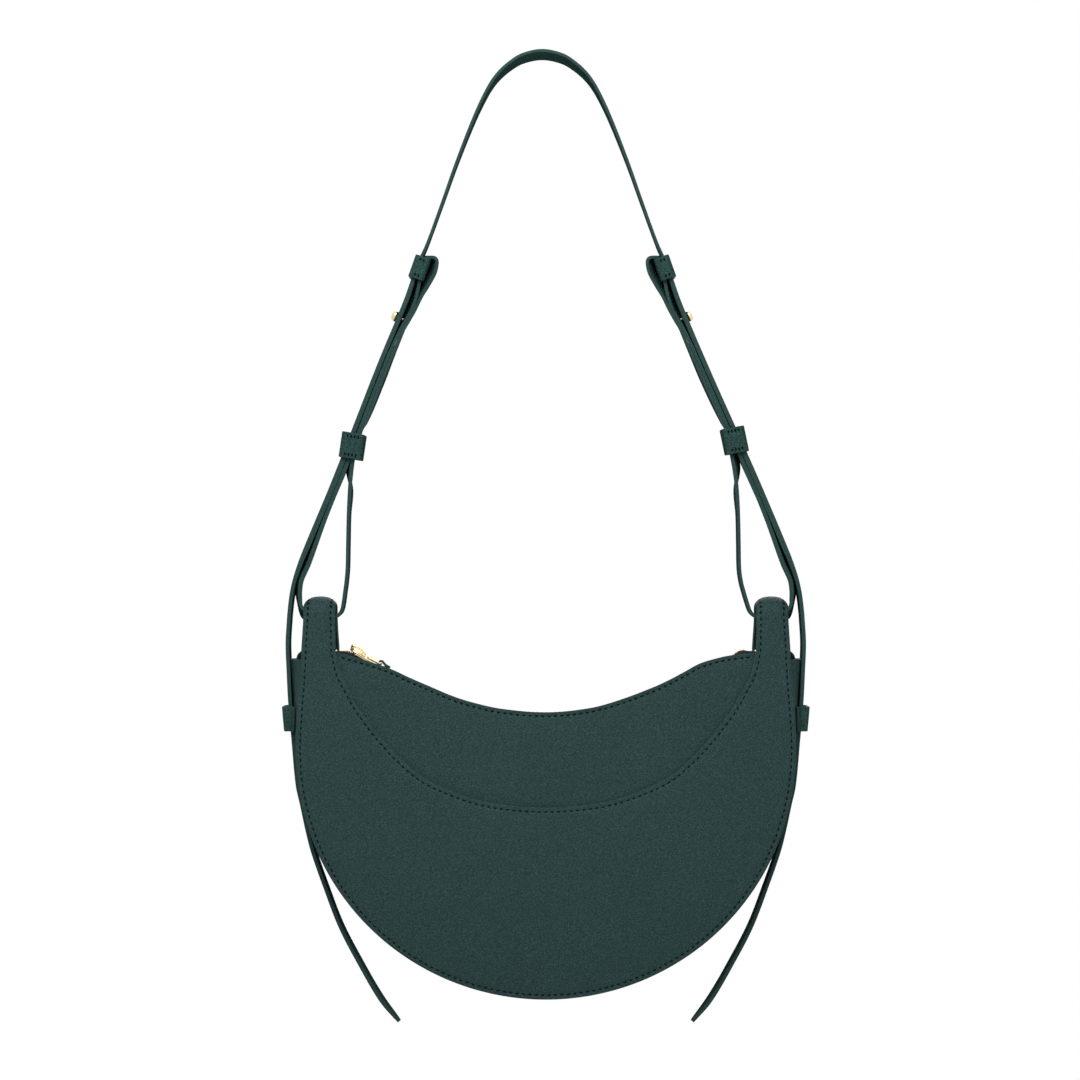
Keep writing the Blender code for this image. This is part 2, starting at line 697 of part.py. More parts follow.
def make_teeth(name, side, shift, carrier):
    """One row of teeth, fused to the cord that they are clamped on, the gaps left for the other row."""
    half, edges, fine = chain_stations(shift)
    stations = [-half] + edges + [half]
    levels = (CHAIN_HALF_WIDTH, CHAIN_HALF_WIDTH - TEETH_CORD, -TOOTH_OVERLAP)
    shape = bmesh.new()
    grid = []
    for n, distance in enumerate(stations):
        spot, up = station_frame(fine, distance)
        toothed = 0 < n < len(stations) - 1
        column = {}
        for k, y in enumerate(levels):
            if (k == 2 and not toothed) or (k == 0 and n % 2 == 1 and toothed):
                continue
            for lift in (0, 1):
                place = spot + up * ((1 - 2 * lift) * TOOTH_HEIGHT / 2)
                column[2 * k + lift] = shape.verts.new((place.x, side * y, place.y))
        grid.append(column)
    for n in range(0, len(stations) - 1, 2):
        a, m = grid[n], grid[n + 1]
        b = grid[min(n + 2, len(stations) - 1)]
        shape.faces.new((a[0], b[0], b[1], a[1]))
        shape.faces.new((a[0], a[2], m[2], b[2], b[0]) if b is not m else (a[0], a[2], b[2], b[0]))
        shape.faces.new((a[1], b[1], b[3], m[3], a[3]) if b is not m else (a[1], b[1], b[3], a[3]))
    for n in range(len(stations) - 1):
        a, b = grid[n], grid[n + 1]
        if n % 2 == 1:
            shape.faces.new((a[2], a[4], b[4], b[2]))
            shape.faces.new((a[3], b[3], b[5], a[5]))
            shape.faces.new((a[4], a[5], b[5], b[4]))
            shape.faces.new((a[2], a[3], a[5], a[4]))
            shape.faces.new((b[2], b[4], b[5], b[3]))
        else:
            shape.faces.new((a[2], a[3], b[3], b[2]))
    first, last = grid[0], grid[-1]
    shape.faces.new((first[0], first[1], first[3], first[2]))
    shape.faces.new((last[0], last[2], last[3], last[1]))
    bmesh.ops.recalc_face_normals(shape, faces=shape.faces)
    mesh = bpy.data.meshes.new(name)
    shape.to_mesh(mesh)
    shape.free()
    add_piece(name, mesh, GILT_SKIN, carrier)


def make_stop(name, side, width, carrier):
    """The small metal block that ends the chain, clamped over the ends of both cords."""
    end = chain_point(TEETH_END_SHARE * BODY_RADIUS)
    start = end.x + CLEARANCE
    half = TOOTH_HEIGHT / 2
    outline = [(side * (start + x), end.y + z) for x, z in
               ((0, -half), (STOP_LENGTH, -half), (STOP_LENGTH, half), (0, half))]
    mesh = prism(name, outline, width)
    piece = add_piece(name, mesh, GILT_SKIN, carrier)
    round_edges(piece)


def round_edges(piece, width=SLIDER_BEVEL):
    bevel = piece.modifiers.new("rounding", "BEVEL")
    bevel.width = width
    bevel.segments = 1
    bevel.limit_method = "ANGLE"


def make_zip_end(name, side, carrier):
    """The leather tab over the zip's end, turned down inside the gusset's flared top."""
    start = END_TAB_START_SHARE * BODY_RADIUS
    deck = chain_point(start).y + TAPE_CLOTH / 2 + CLEARANCE + END_TAB_LEATHER / 2
    top = TUNNEL_Z - GUSSET_TOP_DROP
    away = GUSSET_INSET + GUSSET_LEATHER / 2 + 3 * CLEARANCE + END_TAB_LEATHER / 2
    foot = HORN_FOOT_SHARES[1] * BODY_RADIUS - away
    rows = []
    spots = ((start, deck, 0.0), ((start + foot) / 2, deck, 0.0), (foot - away, deck, 0.5),
             (foot, top, 1.0), (foot, top - END_TAB_LEATHER * 2, 1.0))
    for x, z, flare in spots:
        half = half_depth(z) - PANEL_LEATHER - YOKE_LEATHER - 3 * CLEARANCE
        row = []
        for share in (-1.0, -WALL_SHARE, WALL_SHARE, 1.0):
            out = gusset_out(z, share * half) * flare
            row.append((side * (x + out), share * half, z))
        rows.append(row)
    sheet(name, rows, END_TAB_LEATHER, EDGE_SKIN, carrier=carrier)


def slider_frame():
    """Place of the slider on the chain and its tilt about Y."""
    x = SLIDER_PLACE_SHARE * BODY_RADIUS
    spot = chain_point(x)
    return spot, math.asin(x / ZIP_RADIUS)


def along_slider(forward, lift):
    """World point in XZ of a place given along the chain and square to it, at the slider."""
    spot, tilt = slider_frame()
    ahead = Vector((math.cos(tilt), math.sin(tilt)))
    up = Vector((-math.sin(tilt), math.cos(tilt)))
    return spot + ahead * forward + up * lift


def tilted(points):
    return [tuple(along_slider(forward, lift)) for forward, lift in points]


def channel_mesh(name, face):
    """A slider shell: a flat plate with its two long edges turned in towards the tape."""
    near = TOOTH_HEIGHT / 2 + CLEARANCE
    lip = TAPE_CLOTH / 2 + CLEARANCE
    half = SLIDER_WIDTH / 2
    inner = CHAIN_HALF_WIDTH + CLEARANCE
    section = ((half, lip), (half, near + SLIDER_WALL), (-half, near + SLIDER_WALL),
               (-half, lip), (-inner, lip), (-inner, near), (inner, near), (inner, lip))
    shape = bmesh.new()
    ring = []
    for y, lift in section:
        spot = along_slider(-SLIDER_LENGTH / 2, face * lift)
        ring.append(shape.verts.new((spot.x, y, spot.y)))
    end = shape.faces.new(ring)
    grown = bmesh.ops.extrude_face_region(shape, geom=[end])
    moved = [item for item in grown["geom"] if isinstance(item, bmesh.types.BMVert)]
    run = along_slider(SLIDER_LENGTH, 0) - along_slider(0, 0)
    bmesh.ops.translate(shape, verts=moved, vec=(run.x, 0, run.y))
    bmesh.ops.recalc_face_normals(shape, faces=shape.faces)
    mesh = bpy.data.meshes.new(name)
    shape.to_mesh(mesh)
    shape.free()
    return mesh


def make_slider(carrier):
    top = add_piece("zip_slider", channel_mesh("zip_slider", 1), GILT_SKIN, carrier)
    deck = TOOTH_HEIGHT / 2 + CLEARANCE + SLIDER_WALL / 2
    roof = TOOTH_HEIGHT / 2 + CLEARANCE + SLIDER_WALL + BRIDGE_HEIGHT
    half = BRIDGE_LENGTH / 2
    slant = BRIDGE_WALL
    outline = ((-half, deck), (-half, roof - slant), (-half + slant, roof), (half - slant, roof),
               (half, roof - slant), (half, deck), (half - BRIDGE_WALL, deck),
               (half - BRIDGE_WALL, roof - BRIDGE_WALL), (-half + BRIDGE_WALL, roof - BRIDGE_WALL),
               (-half + BRIDGE_WALL, deck))
    bridge = cutter("slider_bridge", prism("slider_bridge", tilted(outline), BRIDGE_WIDTH))
    combine(top, bridge, "UNION")
    round_edges(top)
    base = add_piece("zip_slider_base", channel_mesh("zip_slider_base", -1), GILT_SKIN, carrier)
    round_edges(base)


def ring_lift():
    """Height of the ring's wire above the chain's middle: lying on the slider's plate."""
    return TOOTH_HEIGHT / 2 + CLEARANCE + SLIDER_WALL + CLEARANCE + RING_WIRE / 2


def ring_place():
    return RING_PLACE + RING_WIRE / 2


def make_ring(carrier):
    """A long wire link whose near end lies under the slider's bridge."""
    half = (RING_WIDTH - RING_WIRE) / 2
    start = ring_place()
    length = RING_LENGTH - RING_WIRE
    corner = half * RING_CORNER_SHARE
    points = []
    for cx, cy, turn in ((length - corner, half - corner, 0), (corner, half - corner, 90),
                         (corner, -half + corner, 180), (length - corner, -half + corner, 270)):
        for k in range(4):
            a = math.radians(turn + 30 * k)
            points.append((start + cx + corner * math.cos(a), cy + corner * math.sin(a)))
    data = bpy.data.curves.new("pull_ring", "CURVE")
    data.dimensions = "3D"
    data.bevel_depth = RING_WIRE / 2
    data.bevel_resolution = 1
    line = data.splines.new("POLY")
    line.points.add(len(points) - 1)
    line.use_cyclic_u = True
    for spot, (forward, y) in zip(line.points, points):
        place = along_ring(forward, 0.0)
        spot.co = (place.x, y, place.y, 1)
    ring = bpy.data.objects.new("pull_ring", data)
    BAG.objects.link(ring)
    data.materials.append(GILT_SKIN)
    hang_on(ring, carrier)


def along_ring(forward, lift):
    """World point in XZ of a place along the ring, which lies at a small tilt to the chain."""
    start = ring_place()
    run = forward - start
    return along_slider(start + run * math.cos(RING_TILT) - lift * math.sin(RING_TILT),
                        ring_lift() + run * math.sin(RING_TILT) + lift * math.cos(RING_TILT))


def far_bar():
    """Distance along the chain from the slider to the middle of the ring's far bar."""
    return ring_place() + RING_LENGTH - RING_WIRE


def make_pull_tab(carrier):
    """One strip of leather folded round the ring's far bar, its two layers lying together."""
    bar = far_bar()
    pair = (TAB_LEATHER + CLEARANCE) / 2
    eye = TAB_EYE
    points = [(bar + TAB_LENGTH, pair), (bar + eye * 1.7, pair)]
    for k in range(9):
        a = math.radians(50 + 260 * k / 8)
        points.append((bar + eye * math.cos(a), eye * math.sin(a)))
    points += [(bar + eye * 1.7, -pair), (bar + TAB_LENGTH, -pair)]
    line = [along_ring(*point) for point in points]
    band("pull_tab", line, [TAB_WIDTH] * len(line), TAB_LEATHER, EDGE_SKIN, carrier=carrier)


def bundle_point(share, layer=0.0):
    """A point on the straight bundle between the keepers, a number of layers inwards."""
    top = drop_point(*BUNDLE_TOP_SHARE)
    foot = drop_point(*BUNDLE_FOOT_SHARE)
    down = (foot - top).normalized()
    inward = Vector((down.y, -down.x))
    return top.lerp(foot, share) + inward * (layer * LAYER_PITCH)


def bundle_direction():
    return (drop_point(*BUNDLE_FOOT_SHARE) - drop_point(*BUNDLE_TOP_SHARE)).normalized()


def strap_line():
    """Right half of the main strap's middle line, from the apex to its end at the tunnel axis."""
    top = [Vector((0, STRAP_LEATHER / 2))] + [drop_point(*share) for share in STRAP_SHARES]
    straight = [bundle_point(k / 4) for k in range(5)]
    side = [drop_point(*share) for share in SIDE_SHARES]
    points = mirrored_start(top + straight + side)
    return curve_through(points, 2)[2:]


def make_shoulder_strap():
    line = strap_line()
    end = line[-1]
    steps = 5
    rounds = []
    for k in range(1, steps + 1):
        turn = math.pi / 2 * k / steps * 0.94
        down = STRAP_END_RADIUS * math.sin(turn)
        rounds.append((end - Vector((0, down)), 2 * STRAP_END_RADIUS * math.cos(turn)))
    widths = []
    far = 0.0
    total = sum((b - a).length for a, b in zip(line, line[1:]))
    for i, point in enumerate(line):
        if i:
            far += (point - line[i - 1]).length
        ease = min(far / SHOULDER_LENGTH, 1.0)
        ease = ease * ease * (3 - 2 * ease)
        width = SHOULDER_WIDTH + (STRAP_WIDTH - SHOULDER_WIDTH) * ease
        near_end = max(0.0, 1 - (total - far) / (2 * STRAP_WIDTH))
        width += (2 * STRAP_END_RADIUS - STRAP_WIDTH) * near_end
        widths.append(width)
    line = line + [spot for spot, _ in rounds]
    widths = widths + [width for _, width in rounds]
    left = [Vector((-p.x, p.y)) for p in reversed(line[1:])]
    strap = band("shoulder_strap", left + line, list(reversed(widths[1:])) + widths,
                 STRAP_LEATHER, STRAP_SKIN)
    for word, side in SIDES.items():
        combine(strap, stud_hole("strap_hole_" + word, side, 0.0), "DIFFERENCE")


def loop_line():
    """The loop strap's closed middle line, right side."""
    middle = [bundle_point(share, 1.0) for share in (0.02, 0.2, 0.6)]
    leaving = [bundle_point(*share) for share in LEAVING_SHARES]
    outer = [drop_point(*share) for share in LOOP_OUTER_SHARES]
    inner = [drop_point(*share) for share in LOOP_INNER_SHARES]
    layer = [bundle_point(share, 2.0) for share in (0.46, 0.30, 0.08, 0.02)]
    keeper = keeper_layer()
    fold = [drop_point(*share) for share in FOLD_SHARES]
    points = middle + leaving + outer + inner + layer + fold[1:] + keeper
    leans = [0.0] * len(points)
    start = len(middle)
    for k, lean in enumerate(LEANS["leaving"] + LEANS["outer"]):
        leans[start + k] = lean
    start = points.index(fold[1])
    for k in range(2, len(fold) - 3):
        leans[start + k] = LEANS["fold"] * math.sin(math.pi * (k - 1) / (len(fold) - 3))
    whole = [Vector((point.x, point.y, lean)) for point, lean in zip(points, leans)]
    return curve_through(whole, 2, closed=True)


def keeper_layer():
    """Where the loop's middle layer lies beside the main strap, through the upper keeper."""
    line = strap_line()
    top = drop_point(*STRAP_SHARES[-2])
    foot = drop_point(*BUNDLE_TOP_SHARE)
    near = [point for point in line if foot.y + STRAP_LEATHER < point.y < top.y]
    inside = shifted(line, -LAYER_PITCH)
    return [inside[line.index(point)] for point in near][::2]


def make_loop_strap(word, side):
    down = bundle_direction()
    rows = []
    for point in loop_line():
        back = Vector((point.x, point.y)) + Vector((-down.y, down.x)) * point.z
        rows.append([(side * point.x, -LOOP_WIDTH / 2, point.y),
                     (side * back.x, LOOP_WIDTH / 2, back.y)])
    strap = sheet("loop_strap_" + word, rows, STRAP_LEATHER, STRAP_SKIN, ring=True)
    combine(strap, stud_hole("loop_hole_" + word, side, 1.5), "DIFFERENCE")


def stud_spot(layer=0.0):
    """The stud's place on the main strap's middle line, a number of layers inwards."""
    spot = drop_point(*STUD_SHARES)
    top = drop_point(*BUNDLE_TOP_SHARE)
    share = (spot - top).length / (drop_point(*BUNDLE_FOOT_SHARE) - top).length
    return bundle_point(share, layer)


def outward_turn(side):
    """Rotation that takes +Z to the bundle's outward direction."""
    down = bundle_direction()
    return Vector((0, 0, 1)).rotation_difference(Vector((-down.y * side, 0, down.x)))


def stud_hole(name, side, layer):
    """Cutter for the stud's neck through one layer, or two layers where layer lies between them."""
    shape = bmesh.new()
    depth = STRAP_LEATHER + OVERRUN / 2 + (LAYER_PITCH if layer % 1 else 0)
    bmesh.ops.create_cone(shape, cap_ends=True, segments=12, radius1=STUD_NECK_RADIUS + CLEARANCE,
                          radius2=STUD_NECK_RADIUS + CLEARANCE, depth=depth)
    mesh = bpy.data.meshes.new(name)
    shape.to_mesh(mesh)
    shape.free()
    tool = cutter(name, mesh)
    spot = stud_spot(layer)
    tool.location = (side * spot.x, 0, spot.y)
    tool.rotation_mode = "QUATERNION"
    tool.rotation_quaternion = outward_turn(side)
    return tool


def place_on_bundle(piece, side, layer):
    spot = stud_spot(layer)
    piece.location = (side * spot.x, 0, spot.y)
    piece.rotation_mode = "QUATERNION"
    piece.rotation_quaternion = outward_turn(side)


def make_stud(word, side):
    """The gilt button and, behind the straps, the slotted screw that holds it."""
    face = STRAP_LEATHER / 2 + CLEARANCE
    back = face + 2 * LAYER_PITCH
    waist = face + STUD_WAIST_HEIGHT
    head = [(0, face + STUD_HEAD_HEIGHT)]
    for k in range(1, 5):
        a = math.radians(90 - 90 * k / 4)
        rise = (STUD_HEAD_HEIGHT - STUD_WAIST_HEIGHT) * math.sin(a)
        head.append((STUD_HEAD_RADIUS * math.cos(a), waist + rise))
    for k in range(1, 4):
        a = math.radians(90 * k / 3)
        flare = (STUD_HEAD_RADIUS - STUD_BASE_RADIUS) * math.cos(a)
        head.append((STUD_BASE_RADIUS + flare, waist - STUD_WAIST_HEIGHT * math.sin(a)))
    head += [(STUD_NECK_RADIUS, face), (STUD_NECK_RADIUS, -back), (0, -back)]
    stud = turned("stud_" + word, head, GILT_SKIN)
    place_on_bundle(stud, side, 0.0)
    foot = STUD_FOOT_RADIUS
    top = -back - CLEARANCE
    screw_profile = [(0, top), (foot, top), (foot, top - STUD_FOOT_HEIGHT),
                     (0, top - STUD_FOOT_HEIGHT)]
    screw = turned("stud_screw_" + word, screw_profile, GILT_SKIN)
    place_on_bundle(screw, side, 0.0)
    shape = bmesh.new()
    bmesh.ops.create_cube(shape, size=1.0)
    size = (SCREW_SLOT, 2 * foot + OVERRUN, SCREW_SLOT)
    bmesh.ops.scale(shape, verts=shape.verts, vec=size)
    mesh = bpy.data.meshes.new("slot_" + word)
    shape.to_mesh(mesh)
    shape.free()
    slot = cutter("slot_" + word, mesh)
    spot = stud_spot(0.0)
    down = bundle_direction()
    out = Vector((-down.y, down.x)) * (top - STUD_FOOT_HEIGHT)
    slot.location = (side * (spot.x + out.x), 0, spot.y + out.y)
    slot.rotation_mode = "QUATERNION"
    slot.rotation_quaternion = outward_turn(side)
    combine(screw, slot, "DIFFERENCE")


def keeper_ring(name, side, centre, tilt, gap, inner_half, height, carrier=None):
    """A leather band round the strap's layers: gap across the layers, inner_half along Y."""
    up = Vector((-math.sin(tilt), math.cos(tilt)))
    out = Vector((math.cos(tilt), math.sin(tilt)))
    a = gap / 2 + KEEPER_LEATHER / 2
    b = inner_half + KEEPER_LEATHER / 2
    corner = KEEPER_LEATHER
    ring = []
    for ca, cb, turn in ((a - corner, b - corner, 0), (-a + corner, b - corner, 90),
                         (-a + corner, -b + corner, 180), (a - corner, -b + corner, 270)):
        for k in range(3):
            angle = math.radians(turn + 45 * k)
            ring.append((ca + corner * math.cos(angle), cb + corner * math.sin(angle)))
    rows = []
    for across, y in ring:
        row = []
        for lift in (-height / 2, height / 2):
            spot = centre + out * across + up * lift
            row.append((side * spot.x, y, spot.y))
        rows.append(row)
    sheet(name, rows, KEEPER_LEATHER, STRAP_SKIN, ring=True, carrier=carrier)


def upper_keeper_centre():
    """Centred on the two layers that it holds, drawn in against the outer one."""
    line = strap_line()
    goal = -UPPER_KEEPER_SHARE * DROP
    near = min(line, key=lambda point: abs(point.y - goal))
    i = line.index(near)
    after = line[i + 1] if near.y > goal else line[i - 1]
    spot = near.lerp(after, (goal - near.y) / (after.y - near.y))
    slack = UPPER_KEEPER_GAP / 2 - STRAP_LEATHER / 2 - CLEARANCE
    tilt = UPPER_KEEPER_TILT
    return spot - Vector((math.cos(tilt), math.sin(tilt))) * slack


def make_keepers(carriers):
    inner_half = STRAP_WIDTH / 2 + KEEPER_SIDE_GAP
    for word, side in SIDES.items():
        keeper_ring("upper_keeper_" + word, side, upper_keeper_centre(), UPPER_KEEPER_TILT,
                    UPPER_KEEPER_GAP, inner_half, UPPER_KEEPER_HEIGHT)
        keeper_ring("lower_keeper_" + word, side, drop_point(*LOWER_KEEPER_SHARES),
                    LOWER_KEEPER_TILT, LOWER_KEEPER_GAP, inner_half, LOWER_KEEPER_HEIGHT,
                    carriers[word])


def make_tail(word, side, carrier):
    line = curve_through([body_point(*share) for share in TAIL_SHARES], 2)
    total = sum((b - a).length for a, b in zip(line, line[1:]))
    widths = []
    far = 0.0
    for i, point in enumerate(line):
        if i:
            far += (point - line[i - 1]).length
        left = min((total - far) / TAIL_POINT, 1.0)
        widths.append(TAIL_TIP + (TAIL_WIDTH - TAIL_TIP) * math.sin(left * math.pi / 2))
    tail = band("strap_tail_" + word, line, widths, STRAP_LEATHER, STRAP_SKIN, carrier=carrier,
                side=side)
    shape = bmesh.new()
    radius = STRAP_END_RADIUS + NOTCH_CLEARANCE
    bmesh.ops.create_cone(shape, cap_ends=True, segments=ROUND_STEPS, radius1=radius,
                          radius2=radius, depth=STRAP_WIDTH)
    bmesh.ops.rotate(shape, verts=shape.verts, matrix=Matrix.Rotation(math.radians(90), 3, "Y"))
    mesh = bpy.data.meshes.new("tail_notch_" + word)
    shape.to_mesh(mesh)
    shape.free()
    notch = cutter("tail_notch_" + word, mesh)
    notch.location = (side * line[0].x, 0, TUNNEL_Z)
    combine(tail, notch, "DIFFERENCE")


def tail_x(z):
    """X of the tail's middle line at a height."""
    line = curve_through([body_point(*share) for share in TAIL_SHARES], 2)
    return x_at(line, z)


def x_at(line, z):
    """X where a falling line crosses a height."""
    for a, b in zip(line, line[1:]):
        if min(a.y, b.y) <= z <= max(a.y, b.y):
            return a.lerp(b, (z - a.y) / (b.y - a.y)).x
    return line[-1].x


def gusset_x(z, y):
    """X of the gusset's outer face at a height and a depth."""
    fine = spaced(outer_edge(), 120)
    out = gusset_out(z, y)
    return x_at(fine, z) - GUSSET_INSET + GUSSET_LEATHER / 2 + out


def make_side_loop(word, side, carrier):
    """A strip sewn to the gusset before and behind the tail, standing out round it."""
    half = SIDE_LOOP_LEATHER / 2
    rows = []
    span = TAIL_WIDTH / 2 + 2 * CLEARANCE + half
    for y, stand in ((-span - SIDE_LOOP_FOOT, 0.0), (-span - half, 0.0), (-span, 1.0),
                     (-span + half, 2.0), (span - half, 2.0), (span, 1.0),
                     (span + half, 0.0), (span + SIDE_LOOP_FOOT, 0.0)):
        row = []
        for k in range(3):
            z = TUNNEL_Z - SIDE_LOOP_DROP - SIDE_LOOP_HEIGHT * (k / 2 - 0.5)
            low = gusset_x(z, min(abs(y), wall_half_width(z))) + 2 * CLEARANCE + half
            high = tail_x(z) + STRAP_LEATHER / 2 + 2 * CLEARANCE + half + SIDE_LOOP_SLACK
            x = low if stand == 0.0 else high if stand == 2.0 else high - half
            row.append((side * x, y, z))
        rows.append(row)
    sheet("side_loop_" + word, rows, SIDE_LOOP_LEATHER, STRAP_SKIN, carrier=carrier)


def build():
    swing = joint_empty("bag_swing_axis", (0, 0, TUNNEL_Z))
    travel = joint_empty("zip_travel_axis", (0, 0, ZIP_CENTRE_Z), swing)
    near = along_ring(ring_place(), 0.0)
    far = along_ring(far_bar(), 0.0)
    ring_axis = joint_empty("ring_lift_axis", (near.x, 0, near.y), travel)
    tab_axis = joint_empty("tab_fold_axis", (far.x, 0, far.y), ring_axis)
    spot = drop_point(*LOWER_KEEPER_SHARES)
    carriers = {word: joint_empty("keeper_slide_" + word, (side * spot.x, 0, spot.y))
                for word, side in SIDES.items()}
    make_front_panel(swing)
    make_back_panel(swing)
    make_yoke("front_yoke", -1, swing)
    make_yoke("back_yoke", 1, swing, BACK_YOKE_DROP)
    make_board("front_board", -1, swing)
    make_board("back_board", 1, swing)
    make_gusset(swing)
    make_lining_sheet("lining_front", -1, swing)
    make_lining_sheet("lining_back", 1, swing)
    make_lining_gusset(swing)
    make_pocket(swing)
    make_tape("zip_tape_front", -1, swing)
    make_tape("zip_tape_back", 1, swing)
    make_teeth("zip_teeth_front", -1, 0.0, swing)
    make_teeth("zip_teeth_back", 1, 0.5, swing)
    make_stop("zip_stop_left", -1, CHAIN_HALF_WIDTH * 2, swing)
    make_stop("zip_stop_right", 1, CHAIN_HALF_WIDTH * 2, swing)
    make_slider(travel)
    make_ring(ring_axis)
    make_pull_tab(tab_axis)
    make_shoulder_strap()
    make_keepers(carriers)
    for word, side in SIDES.items():
        make_zip_end("zip_end_" + word, side, swing)
        make_loop_strap(word, side)
        make_stud(word, side)
        make_tail(word, side, swing)
        make_side_loop(word, side, swing)


build()
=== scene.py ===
"""Half-moon shoulder bag in fine-grained dark green leather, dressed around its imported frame.

Metres, +Z up, the bag's front towards -Y. The origin is the underside of the strap's highest
point, and the bag swings about the tunnel axis, a line along X through both horns.
"""

import json
import math

import bmesh
import bpy
import numpy as np
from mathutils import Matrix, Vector

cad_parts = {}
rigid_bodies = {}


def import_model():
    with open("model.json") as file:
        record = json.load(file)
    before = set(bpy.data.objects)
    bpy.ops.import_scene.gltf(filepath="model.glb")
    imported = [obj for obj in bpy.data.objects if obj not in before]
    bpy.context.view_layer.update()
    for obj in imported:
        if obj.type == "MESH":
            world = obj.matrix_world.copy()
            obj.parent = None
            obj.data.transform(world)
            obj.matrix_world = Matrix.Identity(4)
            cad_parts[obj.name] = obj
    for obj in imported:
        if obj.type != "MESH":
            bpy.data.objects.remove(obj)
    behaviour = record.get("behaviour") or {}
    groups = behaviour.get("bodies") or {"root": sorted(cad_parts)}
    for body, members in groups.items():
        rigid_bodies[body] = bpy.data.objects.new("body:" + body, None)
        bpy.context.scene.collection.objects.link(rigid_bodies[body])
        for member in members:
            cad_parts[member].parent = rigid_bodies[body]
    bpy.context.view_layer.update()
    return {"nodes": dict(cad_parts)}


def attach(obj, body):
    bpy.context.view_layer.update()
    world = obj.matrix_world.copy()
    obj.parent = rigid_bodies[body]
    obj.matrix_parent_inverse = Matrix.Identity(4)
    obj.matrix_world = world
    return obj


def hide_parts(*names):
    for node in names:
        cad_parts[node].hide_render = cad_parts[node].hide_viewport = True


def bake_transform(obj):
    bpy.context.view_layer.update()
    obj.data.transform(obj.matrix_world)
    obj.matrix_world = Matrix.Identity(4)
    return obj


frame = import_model()

# Sizes, as in the CAD model
R = 0.1448
DROP = 0.3282
TUNNEL_Z = -DROP
CENTRE_Z = TUNNEL_Z - 0.0748
BODY_HEIGHT = 0.0748 + R
HORN_HEIGHT = 0.0200
HORN_TOP_RADIUS = 0.0116
HORN_CROWN = 0.0015
FLAP_LENGTH, FLAP_BLEND, FLAP_ROUND = 0.0440, 0.0180, 0.0070
BASE_DEPTH, FLAT_SHARE, DEEPEST_SHARE = 0.0630, 0.56, 0.86
PANEL, YOKE, GUSSET, STRAP, CLOTH, TAPE = 0.0020, 0.0018, 0.0018, 0.0018, 0.0008, 0.0006
GAP = 0.0003
GUSSET_TOP = TUNNEL_Z - 0.0244
ZIP_REACH, ZIP_SAG = 0.782 * R, 0.0351
ZIP_R = (ZIP_REACH ** 2 + ZIP_SAG ** 2) / (2 * ZIP_SAG)
ZIP_Z = TUNNEL_Z - 0.0571 + ZIP_R
CHAIN_HALF = 0.0029
TOOTH_PITCH, TOOTH_HALF = 0.0026, 0.0009
TEETH_END = 0.846 * R
HORN_FOOT, HORN_HEAD = np.array((0.847, 0.982)) * R, np.array((0.853, 0.974)) * R
FOOT_Z = TUNNEL_Z - HORN_HEIGHT
INSET = 0.001  # how far the gusset's fold lies inside the panels' outline
STRAP_BROAD, STRAP_NARROW, TAIL_WIDTH, LOOP_WIDTH = 0.0280, 0.0160, 0.0140, 0.0150
RING_WIRE, RING_LENGTH, RING_WIDTH, TAB = 0.0015, 0.0098, 0.0090, 0.0011
STITCH_PITCH, KEEPER_PITCH, TAB_PITCH = 0.0037, 0.0021, 0.0013
FLOOR_LEVEL, WORLD_LEVEL = -0.70, 0.13
LEANING = ("strap_and", "loop_left", "loop_right", "upper_band", "lower_band", "button")

STRAP_SHARES = (
    (0.079, -0.0042), (0.131, -0.0177), (0.180, -0.0372), (0.220, -0.0622), (0.2755, -0.1118),
    (0.3440, -0.1868), (0.4050, -0.2620), (0.4672, -0.3370), (0.4931, -0.3626), (0.5152, -0.3885),
)
KEEPER_HALF = 0.0085  # from the middle to the inside of a keeper's front or back
STRAP_MOST, LOOP_MOST = 0.0034, 0.0027  # the greatest thickness that their rows share
BUNDLE = np.array(((0.556 * R, -0.440 * DROP), (0.982 * R, -0.890 * DROP)))
SIDE_SHARES = ((1.0138, -0.931), (1.029, -0.9616), (1.0394, -1.0))
TAIL_SHARES = (
    (1.0395, -0.008), (1.045, -0.108), (1.041, -0.2175), (1.035, -0.339), (1.021, -0.501),
    (1.0042, -0.680), (0.9865, -0.761), (0.964, -0.866), (0.942, -0.951), (0.8925, -1.093),
    (0.8315, -1.252), (0.758, -1.394), (0.6685, -1.548), (0.595, -1.642),
)
LOOP_OUTER_SHARES = ((0.9570, -0.9060), (0.9855, -0.9345), (0.9920, -0.9530), (0.9915, -0.9670),
                     (0.9875, -0.9805), (0.9700, -0.9900), (0.9450, -0.9960))
LOOP_INNER_SHARES = ((0.8650, -1.0), (0.8425, -0.9980), (0.8270, -0.9905), (0.8163, -0.9750),
                     (0.8073, -0.9567), (0.7990, -0.9385), (0.7928, -0.9141), (0.7907, -0.8684),
                     (0.7880, -0.8166), (0.7818, -0.7740), (0.7735, -0.7404), (0.7638, -0.7160),
                     (0.7541, -0.6932), (0.7434, -0.6745))
FOLD_SHARES = ((0.4866, -0.4296), (0.4630, -0.4130), (0.4330, -0.3890), (0.4240, -0.3733),
               (0.4248, -0.3645), (0.4350, -0.3600), (0.4595, -0.3597), (0.4737, -0.3640))
CRESCENT_SHARES = (
    (0.0, -0.761), (0.198, -0.746), (0.330, -0.713), (0.483, -0.647), (0.575, -0.574),
    (0.656, -0.490), (0.7065, -0.427), (0.753, -0.363), (0.794, -0.290), (0.827, -0.225),
)
